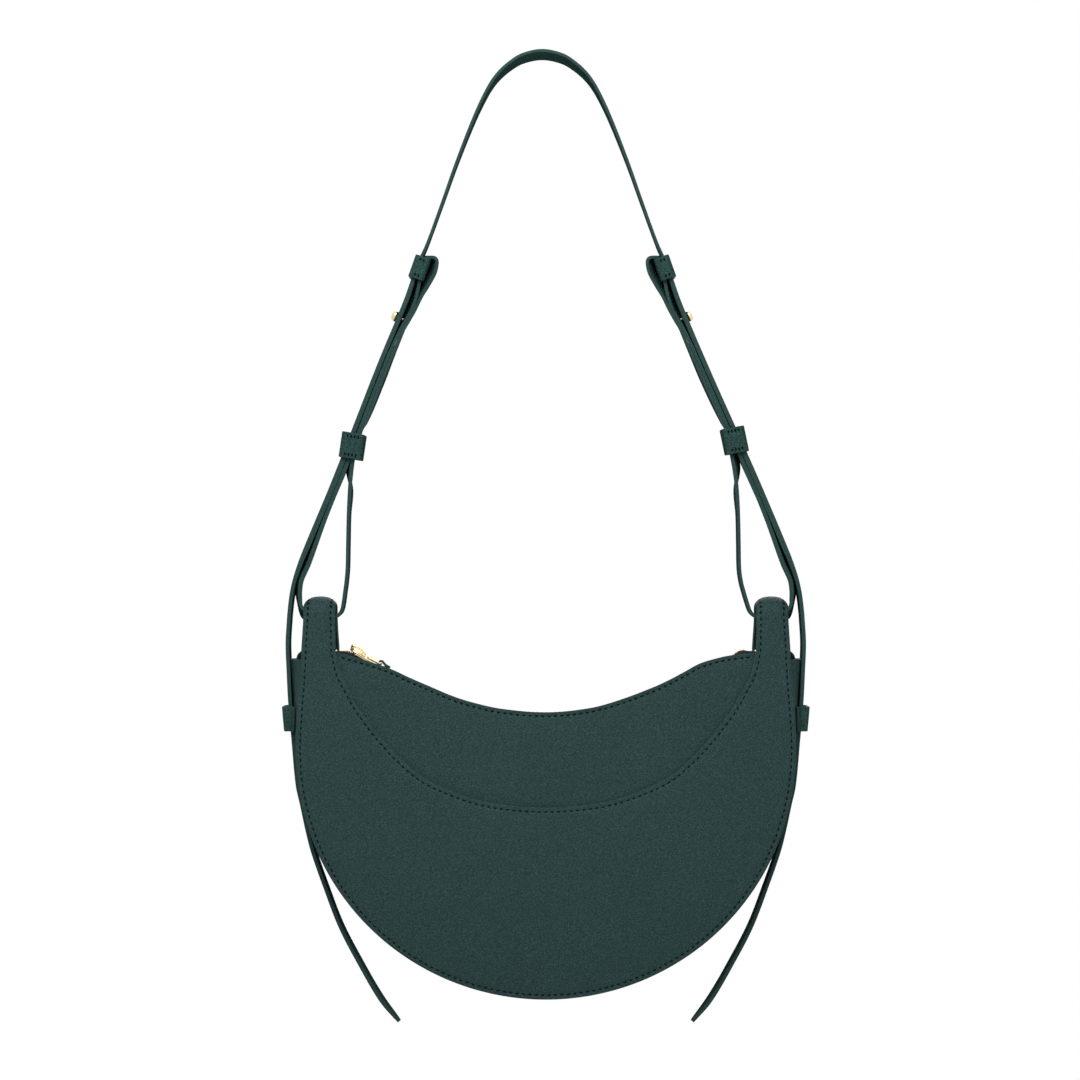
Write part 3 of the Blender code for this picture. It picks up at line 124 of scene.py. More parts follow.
YOKE_SHARES = {
    "left": ((0.0, -0.382), (0.1787, -0.368), (0.3032, -0.3404), (0.3835, -0.314), (0.4638, -0.280),
             (0.5441, -0.2457), (0.6244, -0.209), (0.722, -0.176), (0.785, -0.158),
             (0.8425, -0.145), (0.895, -0.1445)),
    "right": ((0.0, -0.382), (0.1787, -0.365), (0.2991, -0.332), (0.4276, -0.284), (0.4919, -0.255),
              (0.5561, -0.2215), (0.6204, -0.1870), (0.7007, -0.1635), (0.7489, -0.1540),
              (0.7971, -0.149), (0.8425, -0.145), (0.895, -0.1445)),
}
LAYER = STRAP + GAP
STUD_SHARE = (0.5801, -0.4656)
SIDES, FACES = {"left": -1, "right": 1}, {"front": -1, "back": 1}


# Lines in the XZ plane, as arrays of points


def unit(v):
    v = np.asarray(v, float)
    return v / np.maximum(np.linalg.norm(v, axis=-1, keepdims=True), 1e-12)


def smooth(points, steps, closed=False):
    """A curve through the points, each stretch cut into the same number of steps."""
    p = np.array(points, float)
    n = len(p)
    after = np.roll(p, -1, 0)
    before = np.roll(p, 1, 0)
    if not closed:
        after[-1], before[0] = p[-1], p[0]
    span = np.linalg.norm(p - before, axis=1) + np.linalg.norm(after - p, axis=1)
    tangent = (after - before) / span[:, None]
    out = []
    for i in range(n if closed else n - 1):
        j = (i + 1) % n
        chord = np.linalg.norm(p[j] - p[i])
        t = np.arange(steps)[:, None] / steps
        out.append(p[i] * (1 + 2 * t) * (1 - t) ** 2 + p[j] * t * t * (3 - 2 * t)
                   + tangent[i] * chord * t * (1 - t) ** 2 + tangent[j] * chord * t * t * (t - 1))
    if not closed:
        out.append(p[-1:])
    return np.concatenate(out)


def distances(line):
    """How far along the line each of its points lies."""
    return np.concatenate([[0], np.cumsum(np.linalg.norm(np.diff(line, axis=0), axis=1))])


def sample(goal, far, line):
    """The line at the goal distances, where far holds its own points' distances."""
    return np.stack([np.interp(goal, far, line[:, k]) for k in range(line.shape[1])], -1)


def spaced(line, count):
    """The same line with count + 1 points at even distances."""
    far = distances(line)
    return sample(np.linspace(0, far[-1], count + 1), far, line)


def ramp(value, start, length):
    """A straight rise from 0 to 1 that begins at start."""
    return np.clip((value - start) / length, 0, 1)


def ease(t):
    """A smooth rise from 0 to 1."""
    t = np.clip(t, 0, 1)
    return t * t * (3 - 2 * t)


def row(x, y, z):
    """Points with these coordinates, each of them a number or an array."""
    return np.stack(np.broadcast_arrays(x, y, z), -1)


def heading(line, closed=False):
    ahead = np.roll(line, -1, 0) - np.roll(line, 1, 0)
    if not closed:
        ahead[0], ahead[-1] = line[1] - line[0], line[-1] - line[-2]
    return unit(ahead)


def quarter_turn(v):
    return np.stack([-v[:, 1], v[:, 0]], 1)


def leftward(line, closed=False):
    return quarter_turn(heading(line, closed))


def half_curve(points, steps):
    """The right half of a curve that is level in its middle, where the points start."""
    points = np.array(points, float)
    points = np.concatenate([[(-points[1][0], points[1][1])], points])
    return smooth(points, steps)[steps:]


def body_points(shares):
    return np.array([(x * R, TUNNEL_Z + z * R) for x, z in shares])


def drop_points(shares):
    return np.array([(x * R, z * DROP) for x, z in shares])


def half_depth(z):
    """Half the bag's depth at a height, to the outside of the panels."""
    down = TUNNEL_Z - np.asarray(z, float)
    flat, deepest = FLAT_SHARE * BODY_HEIGHT, DEEPEST_SHARE * BODY_HEIGHT
    slope = (BASE_DEPTH / 2 - HORN_TOP_RADIUS) * 2 / (flat + deepest)
    over = np.maximum(0.0, down - flat)
    return HORN_TOP_RADIUS + slope * down - slope * over * over / (2 * (deepest - flat))


def outer_edge():
    """Right half of the outline, from the bottom to the foot of the horn."""
    turn = np.radians(np.linspace(-90, 0, 46))
    arc = np.stack([R * np.cos(turn), CENTRE_Z + R * np.sin(turn)], 1)
    foot = np.array((HORN_FOOT[1], FOOT_Z))
    rise = np.array((0, (foot[1] - arc[-1][1]) * 0.30))
    t = np.linspace(0, 1, 25)[1:, None]
    bend = (arc[-1] * (1 - t) ** 3 + (arc[-1] + rise) * 3 * t * (1 - t) ** 2
            + (foot - rise) * 3 * t * t * (1 - t) + foot * t ** 3)
    return np.concatenate([arc, bend])


def inner_edge():
    """Right half of the crescent's inner edge, from the middle to the foot of the horn."""
    return half_curve([*body_points(CRESCENT_SHARES), (HORN_FOOT[0], FOOT_Z)], 12)


# Materials


def material(name, colour, roughness, metallic=0.0, **settings):
    skin = bpy.data.materials.new(name)
    skin.use_nodes = True
    shader = skin.node_tree.nodes["Principled BSDF"]
    shader.inputs["Base Color"].default_value = (*colour, 1)
    shader.inputs["Roughness"].default_value = roughness
    shader.inputs["Metallic"].default_value = metallic
    for word, value in settings.items():
        shader.inputs[word.replace("_", " ")].default_value = value
    return skin, Nodes(skin.node_tree), shader


class Nodes:
    """Short calls for the shader nodes used here."""

    def __init__(self, tree):
        self.tree = tree
        self.place = self.new("ShaderNodeTexCoord").outputs["Object"]

    def new(self, kind, **values):
        node = self.tree.nodes.new(kind)
        for word, value in values.items():
            setattr(node, word, value)
        return node

    def put(self, value, socket):
        if isinstance(value, bpy.types.NodeSocket):
            self.tree.links.new(value, socket)
        else:
            socket.default_value = value

    def texture(self, kind, output, place, settings=(), **inputs):
        """An output of a node that reads a place: the object's own, or the one given."""
        node = self.new(kind, **dict(settings))
        self.put(place or self.place, node.inputs["Vector"])
        for word, number in inputs.items():
            node.inputs[word].default_value = number
        return node.outputs[output]

    def stretch(self, scale, turn=(0, 0, 0)):
        return self.texture("ShaderNodeMapping", 0, None, Scale=scale, Rotation=turn)

    def noise(self, scale, detail=3.0, rough=0.5, place=None):
        return self.texture("ShaderNodeTexNoise", "Fac", place, Scale=scale, Detail=detail,
                            Roughness=rough)

    def cells(self, scale, feature="DISTANCE_TO_EDGE", place=None):
        return self.texture("ShaderNodeTexVoronoi", "Distance", place, dict(feature=feature),
                            Scale=scale)

    def wave(self, scale, direction="X", distortion=0.0, place=None):
        return self.texture("ShaderNodeTexWave", "Fac", place, dict(bands_direction=direction),
                            Scale=scale, Distortion=distortion)

    def math(self, operation, a, b=0.0):
        node = self.new("ShaderNodeMath", operation=operation)
        self.put(a, node.inputs[0])
        self.put(b, node.inputs[1])
        return node.outputs[0]

    def fit(self, value, low, high, to_low=0.0, to_high=1.0):
        node = self.new("ShaderNodeMapRange")
        self.put(value, node.inputs["Value"])
        for k, number in enumerate((low, high, to_low, to_high)):
            node.inputs[k + 1].default_value = number
        return node.outputs[0]

    def mix(self, share, a, b):
        node = self.new("ShaderNodeMix", data_type="RGBA")
        self.put(share, node.inputs[0])
        self.put(a, node.inputs[6])
        self.put(b, node.inputs[7])
        return node.outputs[2]

    def warp(self, amount, scale):
        """Object coordinates pushed about by a noise, so that cells don't look ruled."""
        cloud = self.texture("ShaderNodeTexNoise", "Color", None, Scale=scale)
        move = self.new("ShaderNodeVectorMath", operation="MULTIPLY_ADD")
        self.put(cloud, move.inputs[0])
        move.inputs[1].default_value = (amount,) * 3
        self.put(self.place, move.inputs[2])
        return move.outputs[0]

    def bump(self, height, distance, strength=1.0, under=None):
        node = self.new("ShaderNodeBump")
        self.put(height, node.inputs["Height"])
        node.inputs["Distance"].default_value = distance
        node.inputs["Strength"].default_value = strength
        if under is not None:
            self.put(under, node.inputs["Normal"])
        return node.outputs[0]

    def drive(self, shader, colour, roughness, normal):
        for word, value in (("Base Color", colour), ("Roughness", roughness), ("Normal", normal)):
            self.put(value, shader.inputs[word])


def rgb(r, g, b):
    """Linear colour of an sRGB one given in 0 to 255."""
    return tuple((c / 255 / 12.92) if c <= 10 else ((c / 255 + 0.055) / 1.055) ** 2.4
                 for c in (r, g, b))


def shade(colour, factor):
    return (*(c * factor for c in colour), 1)


def leather(name, colour, roughness, grain=0.0011, depth=0.00016, worn=0.5, shine=0.16):
    """Pressed-grain leather: small flat cells with creases between them, brighter on worn edges."""
    skin, n, shader = material(name, colour, roughness, Specular_IOR_Level=shine)
    flow = n.warp(0.0006, 700)
    crease = n.fit(n.cells(1 / grain, place=flow), 0.0, 0.16)
    fine = n.cells(2.3 / grain, "F1", flow)
    mottle = n.noise(1400, 2.0)
    broad = n.noise(22, 2.0)
    tone = n.mix(n.fit(broad, 0.3, 0.7), shade(colour, 0.93), shade(colour, 1.08))
    tone = n.mix(n.fit(mottle, 0.36, 0.62), shade(colour, 0.52), tone)
    streak = n.noise(1050, 3.0, 0.7, n.stretch((1, 1, 1.6)))
    tone = n.mix(n.fit(streak, 0.48, 0.70), tone, shade(colour, 1.80))
    tone = n.mix(n.fit(streak, 0.30, 0.50, 0.60, 0.0), tone, shade(colour, 0.45))
    tone = n.mix(n.fit(crease, 0.0, 1.0, 0.62, 0.0), tone, shade(colour, 0.45))
    edge = n.new("ShaderNodeNewGeometry").outputs["Pointiness"]
    wear = n.math("MULTIPLY", n.fit(edge, 0.53, 0.62, 0.0, worn), n.fit(n.noise(260), 0.35, 0.65))
    tone = n.mix(wear, tone, shade(colour, 1.9))
    gloss = n.fit(crease, 0.0, 1.0, roughness + 0.14, roughness)
    relief = n.bump(fine, depth * 0.5, 0.5, n.bump(crease, depth, 0.8))
    n.drive(shader, tone, n.math("SUBTRACT", gloss, n.math("MULTIPLY", wear, 0.10)),
            n.bump(mottle, depth * 0.35, 0.5, relief))
    return skin


def fibrous(name, colour, roughness, pattern, tones, span, rough, depth, **settings):
    """One pattern that shades the colour and changes the roughness and the relief."""
    skin, n, shader = material(name, colour, roughness, **settings)
    value = pattern(n)
    n.drive(shader, n.mix(n.fit(value, *span), *(shade(colour, tone) for tone in tones)),
            n.fit(value, *rough), n.bump(value, depth, 0.6))
    return skin


def thread_skin(name, colour):
    return fibrous(name, colour, 0.8, lambda n: n.wave(620, "DIAGONAL", 0.6), (0.6, 1.2),
                   (0.2, 0.8), (0.0, 1.0, 0.7, 0.5), 0.00008, Specular_IOR_Level=0.03)


def woven(name, colour, pitch, roughness=0.85, twill=False):
    """Plain or twill cloth: two crossing sets of yarns, with slubs and a soft sheen."""
    skin, n, shader = material(name, colour, roughness, Specular_IOR_Level=0.04,
                               Sheen_Weight=0.06, Sheen_Roughness=0.5)
    scale = 1 / pitch / 3.14
    place = n.stretch((1, 1, 1), (0, 0.78, 0) if twill else (0, 0, 0))
    warp, weft = (n.wave(scale, way, 0.4, place) for way in "XZ")
    yarn = n.math("MAXIMUM", warp, weft) if twill else n.math("MULTIPLY", warp, weft)
    slub = n.noise(500, 3.0)
    tone = n.mix(n.fit(yarn, 0.0, 0.8), shade(colour, 0.55), shade(colour, 1.15))
    tone = n.mix(n.fit(slub, 0.35, 0.7, 0.0, 0.5), tone, shade(colour, 1.4))
    n.drive(shader, tone, n.fit(slub, 0.3, 0.7, roughness, roughness - 0.12),
            n.bump(yarn, 0.00012, 0.7))
    return skin


def gilt(name, colour, roughness=0.16):
    """Polished gilt: hairline scratches and a faint clouding, darker where the plating wears."""
    skin, n, shader = material(name, colour, roughness, 1.0)
    scratch = n.noise(1800, 2.0, 0.6, n.stretch((1, 0.12, 0.6), (0.3, 0.5, 0.2)))
    cloud = n.noise(320, 3.0)
    n.drive(shader, n.mix(n.fit(cloud, 0.4, 0.75), (*colour, 1), shade(colour, 0.78)),
            n.fit(scratch, 0.35, 0.7, roughness, roughness + 0.16),
            n.bump(scratch, 0.000012, 0.5))
    return skin


GREEN = rgb(50, 79, 78)
LEATHER = leather("green_leather", GREEN, 0.50)
# A lighter copy of the green leather with no specular: the extra lightness is painted sheen,
# standing in for the specular that is turned off
STRAP_LEATHER = leather("strap_leather", rgb(62, 94, 90), 0.55, grain=0.0009, shine=0.0)
# The sealed cut edge of leather: paint over fine fibres that lie along the strap, made lighter than
# the leather as a painted highlight along the rims
EDGE = fibrous("edge_paint", rgb(54, 82, 79), 0.45,
               lambda n: n.noise(900, 4.0, 0.65, n.stretch((1, 2.4, 1))), (0.75, 1.2), (0.3, 0.7),
               (0.3, 0.7, 0.36, 0.52), 0.00006, Specular_IOR_Level=0.06)
INNER = leather("inner_leather", rgb(34, 56, 53), 0.6, grain=0.0008, shine=0.02)
LINING = woven("lining_cloth", rgb(98, 94, 84), 0.00042)
TAPE_SKIN = woven("zip_tape", rgb(30, 46, 43), 0.0005, twill=True)
THREAD = thread_skin("thread", rgb(10, 30, 28))
# Painted shadow: the dark colour of the disc under each stitch, for the shade in its dent and
# needle holes
STITCH_SHADOW = thread_skin("needle_hole", rgb(4, 18, 16))
GILT = gilt("gilt_metal", rgb(245, 220, 172))
BOARD = fibrous("stiffener_board", rgb(137, 123, 106), 0.9, lambda n: n.noise(700, 5.0, 0.7),
                (0.7, 1.25), (0.3, 0.7), (0.3, 0.7, 0.95, 0.8), 0.0001)


# Meshes


def add_object(name, data):
    obj = bpy.data.objects.new(name, data)
    bpy.context.scene.collection.objects.link(obj)
    return obj


def piece(name, corners, faces, body, skins, nodes=()):
    mesh = bpy.data.meshes.new(name)
    mesh.from_pydata([tuple(c) for c in corners], [], [tuple(f) for f in faces])
    obj = add_object(name, mesh)
    for skin in skins:
        mesh.materials.append(skin)
    dress(obj, body, nodes)
    return obj


def dress(obj, body, nodes=()):
    if body:
        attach(obj, body)
    if nodes:
        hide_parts(*nodes)


def settle(obj, *steps):
    """Adds the modifiers, and keeps their result as the object's mesh."""
    for kind, values in steps:
        step = obj.modifiers.new(kind.lower(), kind)
        for word, value in values.items():
            setattr(step, word, value)
    graph = bpy.context.evaluated_depsgraph_get()
    made = bpy.data.meshes.new_from_object(obj.evaluated_get(graph))
    obj.modifiers.clear()
    old = obj.data
    obj.data = made
    bpy.data.meshes.remove(old)
    made.name = obj.name
    made.shade_smooth()
    made.set_sharp_from_angle(angle=math.radians(50))


def grid_faces(rows, columns, ring=False, around=False):
    faces = []
    for i in range(rows if ring else rows - 1):
        j = (i + 1) % rows
        for k in range(columns if around else columns - 1):
            m = (k + 1) % columns
            faces.append((i * columns + k, i * columns + m, j * columns + m, j * columns + k))
    return faces


def shell(name, grid, thick, body, nodes=(), skin=None, rim=None, ring=False,
          edge=0.00045, even=True, full=None):
    """A sheet of leather or cloth: a grid of middle points, thickened, with rounded rims."""
    grid = np.asarray(grid, float)
    rows, columns = grid.shape[:2]
    obj = piece(name, grid.reshape(-1, 3), grid_faces(rows, columns, ring), None,
                [skin or LEATHER, rim or EDGE])
    values = dict(thickness=thick, offset=0, use_even_offset=even, material_offset_rim=1)
    if full is not None:
        values["vertex_group"] = obj.vertex_groups.new(name="full").name
        for k, share in enumerate(full):
            obj.vertex_groups[0].add(range(k * columns, (k + 1) * columns), share, "REPLACE")
    steps = [("SOLIDIFY", values)]
    if edge:
        steps.append(("BEVEL", dict(width=min(edge, thick * 0.45), segments=3,
                                    limit_method="ANGLE", angle_limit=math.radians(50))))
    settle(obj, *steps)
    obj.vertex_groups.clear()
    dress(obj, body, nodes)
    return obj


def grid_normals(grid):
    """Unit normals of a grid of points: rows' direction crossed with columns'."""
    return unit(np.cross(np.gradient(grid, axis=1), np.gradient(grid, axis=0)))


def metal(name, corners, faces, body, nodes=(), sharp=None, bevel=None):
    """A gilt piece, bevelled or smooth, with edges kept sharp above an angle in degrees."""
    obj = piece(name, corners, faces, None, [GILT])
    shape = bmesh.new()
    shape.from_mesh(obj.data)
    bmesh.ops.recalc_face_normals(shape, faces=shape.faces)
    shape.to_mesh(obj.data)
    shape.free()
    if bevel:
        settle(obj, ("BEVEL", bevel))
    else:
        obj.data.shade_smooth()
    if sharp:
        obj.data.set_sharp_from_angle(angle=math.radians(sharp))
    dress(obj, body, nodes)


def capped_tube(rings, sides):
    """Faces of a tube of rings, closed at both ends."""
    count = rings * sides
    return grid_faces(rings, sides, around=True) + [
        tuple(range(sides)), tuple(reversed(range(count - sides, count)))]


def octagon(flat):
    """A section with cut corners, as shares of its half width and half height."""
    return ((1, 0.6), (flat, 1), (-flat, 1), (-1, 0.6), (-1, -0.6), (-flat, -1), (flat, -1),
            (1, -0.6))


STITCH = (  # share of the half length, height and radius in millimetres
    (-1.0, -0.45, 0.24), (-0.82, -0.06, 0.28), (-0.45, 0.04, 0.32), (0.0, 0.07, 0.33),
    (0.45, 0.04, 0.32), (0.82, -0.06, 0.28), (1.0, -0.45, 0.24),
)
# The thread's share of a pitch, then the dark disc of painted shadow under it: its share of a
# pitch, half width and sides
STITCH_SPAN, SHADOW_SPAN, SHADOW_HALF = 0.42, 0.42 * 0.62, 0.00088
THREAD_SIDES, SHADOW_SIDES = 6, 12


def sew(name, path, outs, body, pitch=STITCH_PITCH, ends=0.5):
    """A row of stitches along a path: each a short sunk thread over a dark disc, painted shadow for
    the shade in its dent.
    """
    far = distances(path)
    count = max(1, int((far[-1] - 2 * ends * pitch) / pitch))
    start = (far[-1] - count * pitch) / 2
    corners, faces, kinds = [], [], []
    for i in range(count):
        here, before, after = (start + (i + share) * pitch for share in (0.5, 0.4, 0.6))
        centre, out = sample(here, far, path), unit(sample(here, far, outs))
        ahead = unit(sample(after, far, path) - sample(before, far, path))
        beside = np.cross(out, ahead)
        ahead = unit(ahead + beside * 0.10)
        base = len(corners)
        for along, lift, radius in STITCH:
            middle = centre + ahead * along * pitch * STITCH_SPAN / 2 + out * lift * 0.001
            for turn in 2 * math.pi * np.arange(THREAD_SIDES) / THREAD_SIDES:
                corners.append(middle + (beside * math.cos(turn) + out * math.sin(turn))
                               * radius * 0.001)
        ring = grid_faces(len(STITCH), THREAD_SIDES, around=True)
        faces += [tuple(base + v for v in face) for face in ring]
        kinds += [0] * len(ring)
        base = len(corners)
        # A flat dark disc of painted shadow just above the leather, under the thread
        for turn in 2 * math.pi * np.arange(SHADOW_SIDES) / SHADOW_SIDES:
            corners.append(centre + out * 0.00012 + ahead * math.cos(turn) * pitch * SHADOW_SPAN
                           + beside * math.sin(turn) * SHADOW_HALF)
        faces.append(tuple(range(base, base + SHADOW_SIDES)))
        kinds.append(1)
    obj = piece(name, corners, faces, body, [THREAD, STITCH_SHADOW])
    obj.data.polygons.foreach_set("material_index", kinds)
    obj.data.shade_smooth()


# The two panels, with their horns


EDGE_STEPS = np.array((0.0, 0.5, 1.1, 1.8, 2.4, 3.0, 3.6, 4.3, 5.4, 6.8)) / 1000
SEAM = 4  # the column that the stitches run along
SEAM_INSET = 0.0024
MIDDLE = 9


def edge_steps(width):
    """The columns' distances from an edge, drawn together where the panel is narrow."""
    return EDGE_STEPS * min(1.0, width / 0.0172)


def groove(far, depth, half, scale=1.0):
    """The dent that the stitches pull into the leather, at distances from its edge."""
    return depth * np.exp(-((far - SEAM_INSET * scale) / half) ** 2)


def section_line(inner, outer, into_inner, into_outer):
    """Columns from the inner edge to the outer one, dense near both seams, and their swell."""
    width = np.linalg.norm(outer - inner)
    steps = edge_steps(width)[:, None]
    near, far = inner + into_inner * steps, outer + into_outer * steps[::-1]
    middle = near[-1] + (far[0] - near[-1]) * (np.arange(1, MIDDLE) / MIDDLE)[:, None]
    return np.concatenate([near, middle, far]), swell(width)


def swell(width):
    """How far the leather stands out at each column: a soft crown, sunk along the stitches."""
    edge = edge_steps(width)
    rest = np.linspace(edge[-1], width - edge[-1], MIDDLE + 1)[1:-1]
    far = np.concatenate([edge, rest, width - edge[::-1]])
    near = np.minimum(far, width - far)
    crown = min(1.0, width / 0.060) * 0.0013 * (1 - np.exp(-near / 0.009))
    return crown - groove(near, 0.00040, 0.0009) - 0.00025 * np.exp(-near / 0.0006)


def crescent_grid(side, count=100):
    inner, outer = spaced(inner_edge(), count), spaced(outer_edge(), count)
    rows = []
    for ends in zip(inner, outer, -leftward(inner), leftward(outer)):
        columns, rise = section_line(*ends)
        x, z = columns.T
        rows.append(row(x, side * (half_depth(z) - PANEL / 2 + rise), z))
    return rows


def both_halves(rows):
    rows = np.asarray(rows)
    return np.concatenate([(rows * (-1, 1, 1))[:0:-1], rows])


def horn_section(climb):
    """Places across the horn at a share of its height, with its crown, fall and swell."""
    inner, outer = HORN_FOOT + (HORN_HEAD - HORN_FOOT) * climb
    way = np.array((1.0, 0.0))
    columns, rise = section_line(way * inner, way * outer, way, -way)
    x = columns[:, 0]
    across = 2 * (x - inner) / (outer - inner) - 1
    return x, HORN_CROWN * across ** 2, 0.0022 * across ** 6, rise


def horn_grid():
    """The front panel's horn: up the front, over the tunnel, and down the back as a flap."""
    rows = []
    close = HORN_TOP_RADIUS - PANEL / 2
    for climb in np.linspace(0, 1, 8)[1:]:
        z = TUNNEL_Z - HORN_HEIGHT * (1 - climb)
        x, crown, _, rise = horn_section(climb)
        rows.append(row(x, crown * climb - (half_depth(z) - PANEL / 2 + rise), z))
    x, crown, fall, rise = horn_section(1.0)
    r = close - crown + rise
    for turn in math.pi * np.arange(1, 18) / 18:
        rows.append(row(x, -r * math.cos(turn), TUNNEL_Z + (r - fall) * math.sin(turn)))
    straight = FLAP_LENGTH - FLAP_ROUND
    downs = np.concatenate([np.linspace(0, straight, 16),
                            straight + FLAP_ROUND * np.sin(np.linspace(0.2, 1.57, 8))])
    for down in downs:
        z = TUNNEL_Z - down
        blend = ease(down / FLAP_BLEND)
        far = half_depth(z) + GAP + PANEL / 2 + 0.0008
        x, crown, _, rise = horn_section(1 - min(down / HORN_HEIGHT, 1.0))
        past = max(0.0, down - straight) / FLAP_ROUND
        middle = (x[0] + x[-1]) / 2
        x = middle + (x - middle) * math.sqrt(max(0.04, 1 - 0.92 * past * past))
        rows.append(row(x, (close - crown) * (1 - blend) + far * blend + rise, z))
    return rows


def sewn_panel(name, grid, side, thick, node, seams, ends=0):
    """A leather panel with a row of stitches along some of its columns."""
    shell(name + "_leather", grid, thick, "bag", (node,), edge=0.0006)
    normals = grid_normals(grid) * -side
    lift = grid + normals * (thick / 2)
    rows = slice(ends, len(grid) - ends)
    for word, column in seams.items():
        sew(name + word, lift[rows, column], normals[rows, column], "bag")


def make_panels():
    for word, side in FACES.items():
        front = word == "front"
        grid = both_halves(crescent_grid(side) + (horn_grid() if front else []))
        sewn_panel(word, grid, side, PANEL, word + "_panel",
                   {"_stitches_inner": SEAM, "_stitches_outer": -1 - SEAM}, 3 if front else 0)


def yoke_rows(shares, side, fall):
    """Right half of a yoke, with its mouth edge through the shares, lowered by the fall."""
    top = spaced(half_curve(body_points(shares), 12), 70)
    line = inner_edge()
    low = spaced((line - leftward(line) * 0.008)[:-8], 70)
    steps = np.array((0.0, 0.5, 1.1, 1.8, 2.4, 3.0, 3.8)) / 1000
    rows = []
    for a, b, n in zip(top - (0, fall), low, -leftward(top)):
        scale = min(1.0, np.linalg.norm(b - a) / 0.008)
        near = a + n * (steps * scale)[:, None]
        rest = near[-1] + (b - near[-1]) * (np.arange(1, 10) / 9)[:, None]
        far = np.concatenate([steps * scale, np.linalg.norm(rest - a, axis=1)])
        x, z = np.concatenate([near, rest]).T
        dent = groove(far, 0.0003, 0.0008, scale)
        rows.append(row(x, side * (half_depth(z) - PANEL - GAP - YOKE / 2 - dent), z))
    return np.array(rows)


def make_yokes():
    for word, fall in (("front", 0.0), ("back", 0.0036)):
        left, right = (yoke_rows(YOKE_SHARES[half], FACES[word], fall) for half in SIDES)
        grid = np.concatenate([(left * (-1, 1, 1))[:0:-1], right])
        sewn_panel(word + "_yoke", grid, FACES[word], YOKE, word + "_yoke",
                   {"_stitches": SEAM}, 4)


# Gusset and linings


def flare(z):
    """How far the gusset bulges outwards, more towards its top ends."""
    return 0.0010 + 0.0078 * ramp(z, GUSSET_TOP - 0.070, 0.070) ** 1.7


def gusset_line(count, top=GUSSET_TOP):
    line = spaced(outer_edge(), 400)
    line = spaced(line[(line[:, 0] < R / 2) | (line[:, 1] < top)], count)
    return line, -leftward(line)


def make_gusset():
    share = np.linspace(-1, 1, 13)
    rows = []
    for p, n in zip(*gusset_line(110)):
        edge = p - n * INSET
        rim = edge - n * 0.0058
        half, rim_half = (half_depth(z) - PANEL - GAP - GUSSET / 2 for z in (edge[1], rim[1]))
        spot = edge + n * (flare(edge[1]) * (1 - share ** 2))[:, None]
        rows.append([(rim[0], -rim_half, rim[1]), *row(spot[:, 0], share * half, spot[:, 1]),
                     (rim[0], rim_half, rim[1])])
    shell("gusset_leather", both_halves(rows), GUSSET, "bag", ("gusset",),
          edge=0.0006)


def chain(x):
    """Heights of the zip chain's middle at distances across the bag."""
    x = np.abs(np.asarray(x, float))
    base = np.minimum(x, ZIP_REACH)
    eased = np.clip(x - ZIP_REACH, 0.0, 0.004)
    slope = base / np.sqrt(ZIP_R ** 2 - base ** 2)
    return ZIP_Z - np.sqrt(ZIP_R ** 2 - base ** 2) + slope * (eased - eased ** 2 / 0.008)


def lining_depth(z):
    return half_depth(z) - PANEL - YOKE - 2 * GAP - CLOTH / 2


def cloth(name, rows, node, even=True):
    shell(name, rows, CLOTH, "bag", (node,), LINING, LINING, edge=0, even=even)


def make_linings():
    line = spaced(outer_edge(), 300)
    line = line[line[:, 1] < TUNNEL_Z - 0.036]
    low = spaced(line + leftward(line) * 0.0045, 50)
    x = low[-1, 0] * np.sin(np.linspace(0, math.pi / 2, 51))
    high = np.stack([x, chain(np.minimum(x, TEETH_END)) - 0.0016
                     - np.maximum(0, x - TEETH_END) * 0.5], 1)
    spots = high[:, None] + (low - high)[:, None] * np.linspace(0, 1, 16)[:, None]
    for word, side in FACES.items():
        rows = row(spots[..., 0], side * lining_depth(spots[..., 1]), spots[..., 1])
        cloth(word + "_lining", both_halves(rows), "lining_" + word, even=False)
    rows = []
    for p, n in zip(*gusset_line(60, GUSSET_TOP - 0.070)):
        x, z = p - n * (INSET + GUSSET / 2 + GAP + CLOTH / 2)
        half = lining_depth(z) - CLOTH / 2 - 2 * GAP
        rows.append(row(x, np.linspace(-1, 1, 7) * half, z))
    cloth("gusset_lining", both_halves(rows), "lining_gusset")
    rows = []
    share = np.linspace(-1, 1, 33)
    for fall in np.linspace(0, 1, 25):
        z = TUNNEL_Z - 0.0850 - 0.0700 * fall
        stand = (1 - share ** 4) * (1 - fall ** 3) * 0.0062
        hem = 0.0003 * math.exp(-((fall - 0.09) / 0.02) ** 2)
        rows.append(row(share * 0.0650, lining_depth(z) - CLOTH - GAP - 0.0003 - stand + hem, z))
    cloth("slip_pocket", rows, "inner_pocket")


# The zip


def chain_frames(goal):
    """Points, forward directions and normals of the chain at distances from its middle."""
    x = np.linspace(-0.876 * R, 0.876 * R, 4001)
    raised = 0.0014 * ramp(x / R, 0.735, 0.035) * ramp(-x / R, -0.82, 0.04)
    line = np.stack([x, chain(x) + raised], 1)
    far = distances(line)
    far -= far[-1] / 2
    ahead = unit(sample(goal, far, heading(line)))
    return sample(goal, far, line), ahead, quarter_turn(ahead)


def chain_half():
    x = np.linspace(0, TEETH_END, 2001)
    return float(np.sum(np.hypot(np.diff(x), np.diff(chain(x)))))


TOOTH = (  # distance across, half thickness along, half height, in millimetres
    (-0.50, 0.26, 0.50), (-0.42, 0.36, 0.72), (-0.20, 0.44, 0.86), (0.25, 0.46, 0.88),
    (0.55, 0.40, 0.74), (0.85, 0.38, 0.70), (1.15, 0.46, 0.92), (1.90, 0.50, 0.98),
    (2.65, 0.48, 0.95), (2.88, 0.40, 0.78),
)


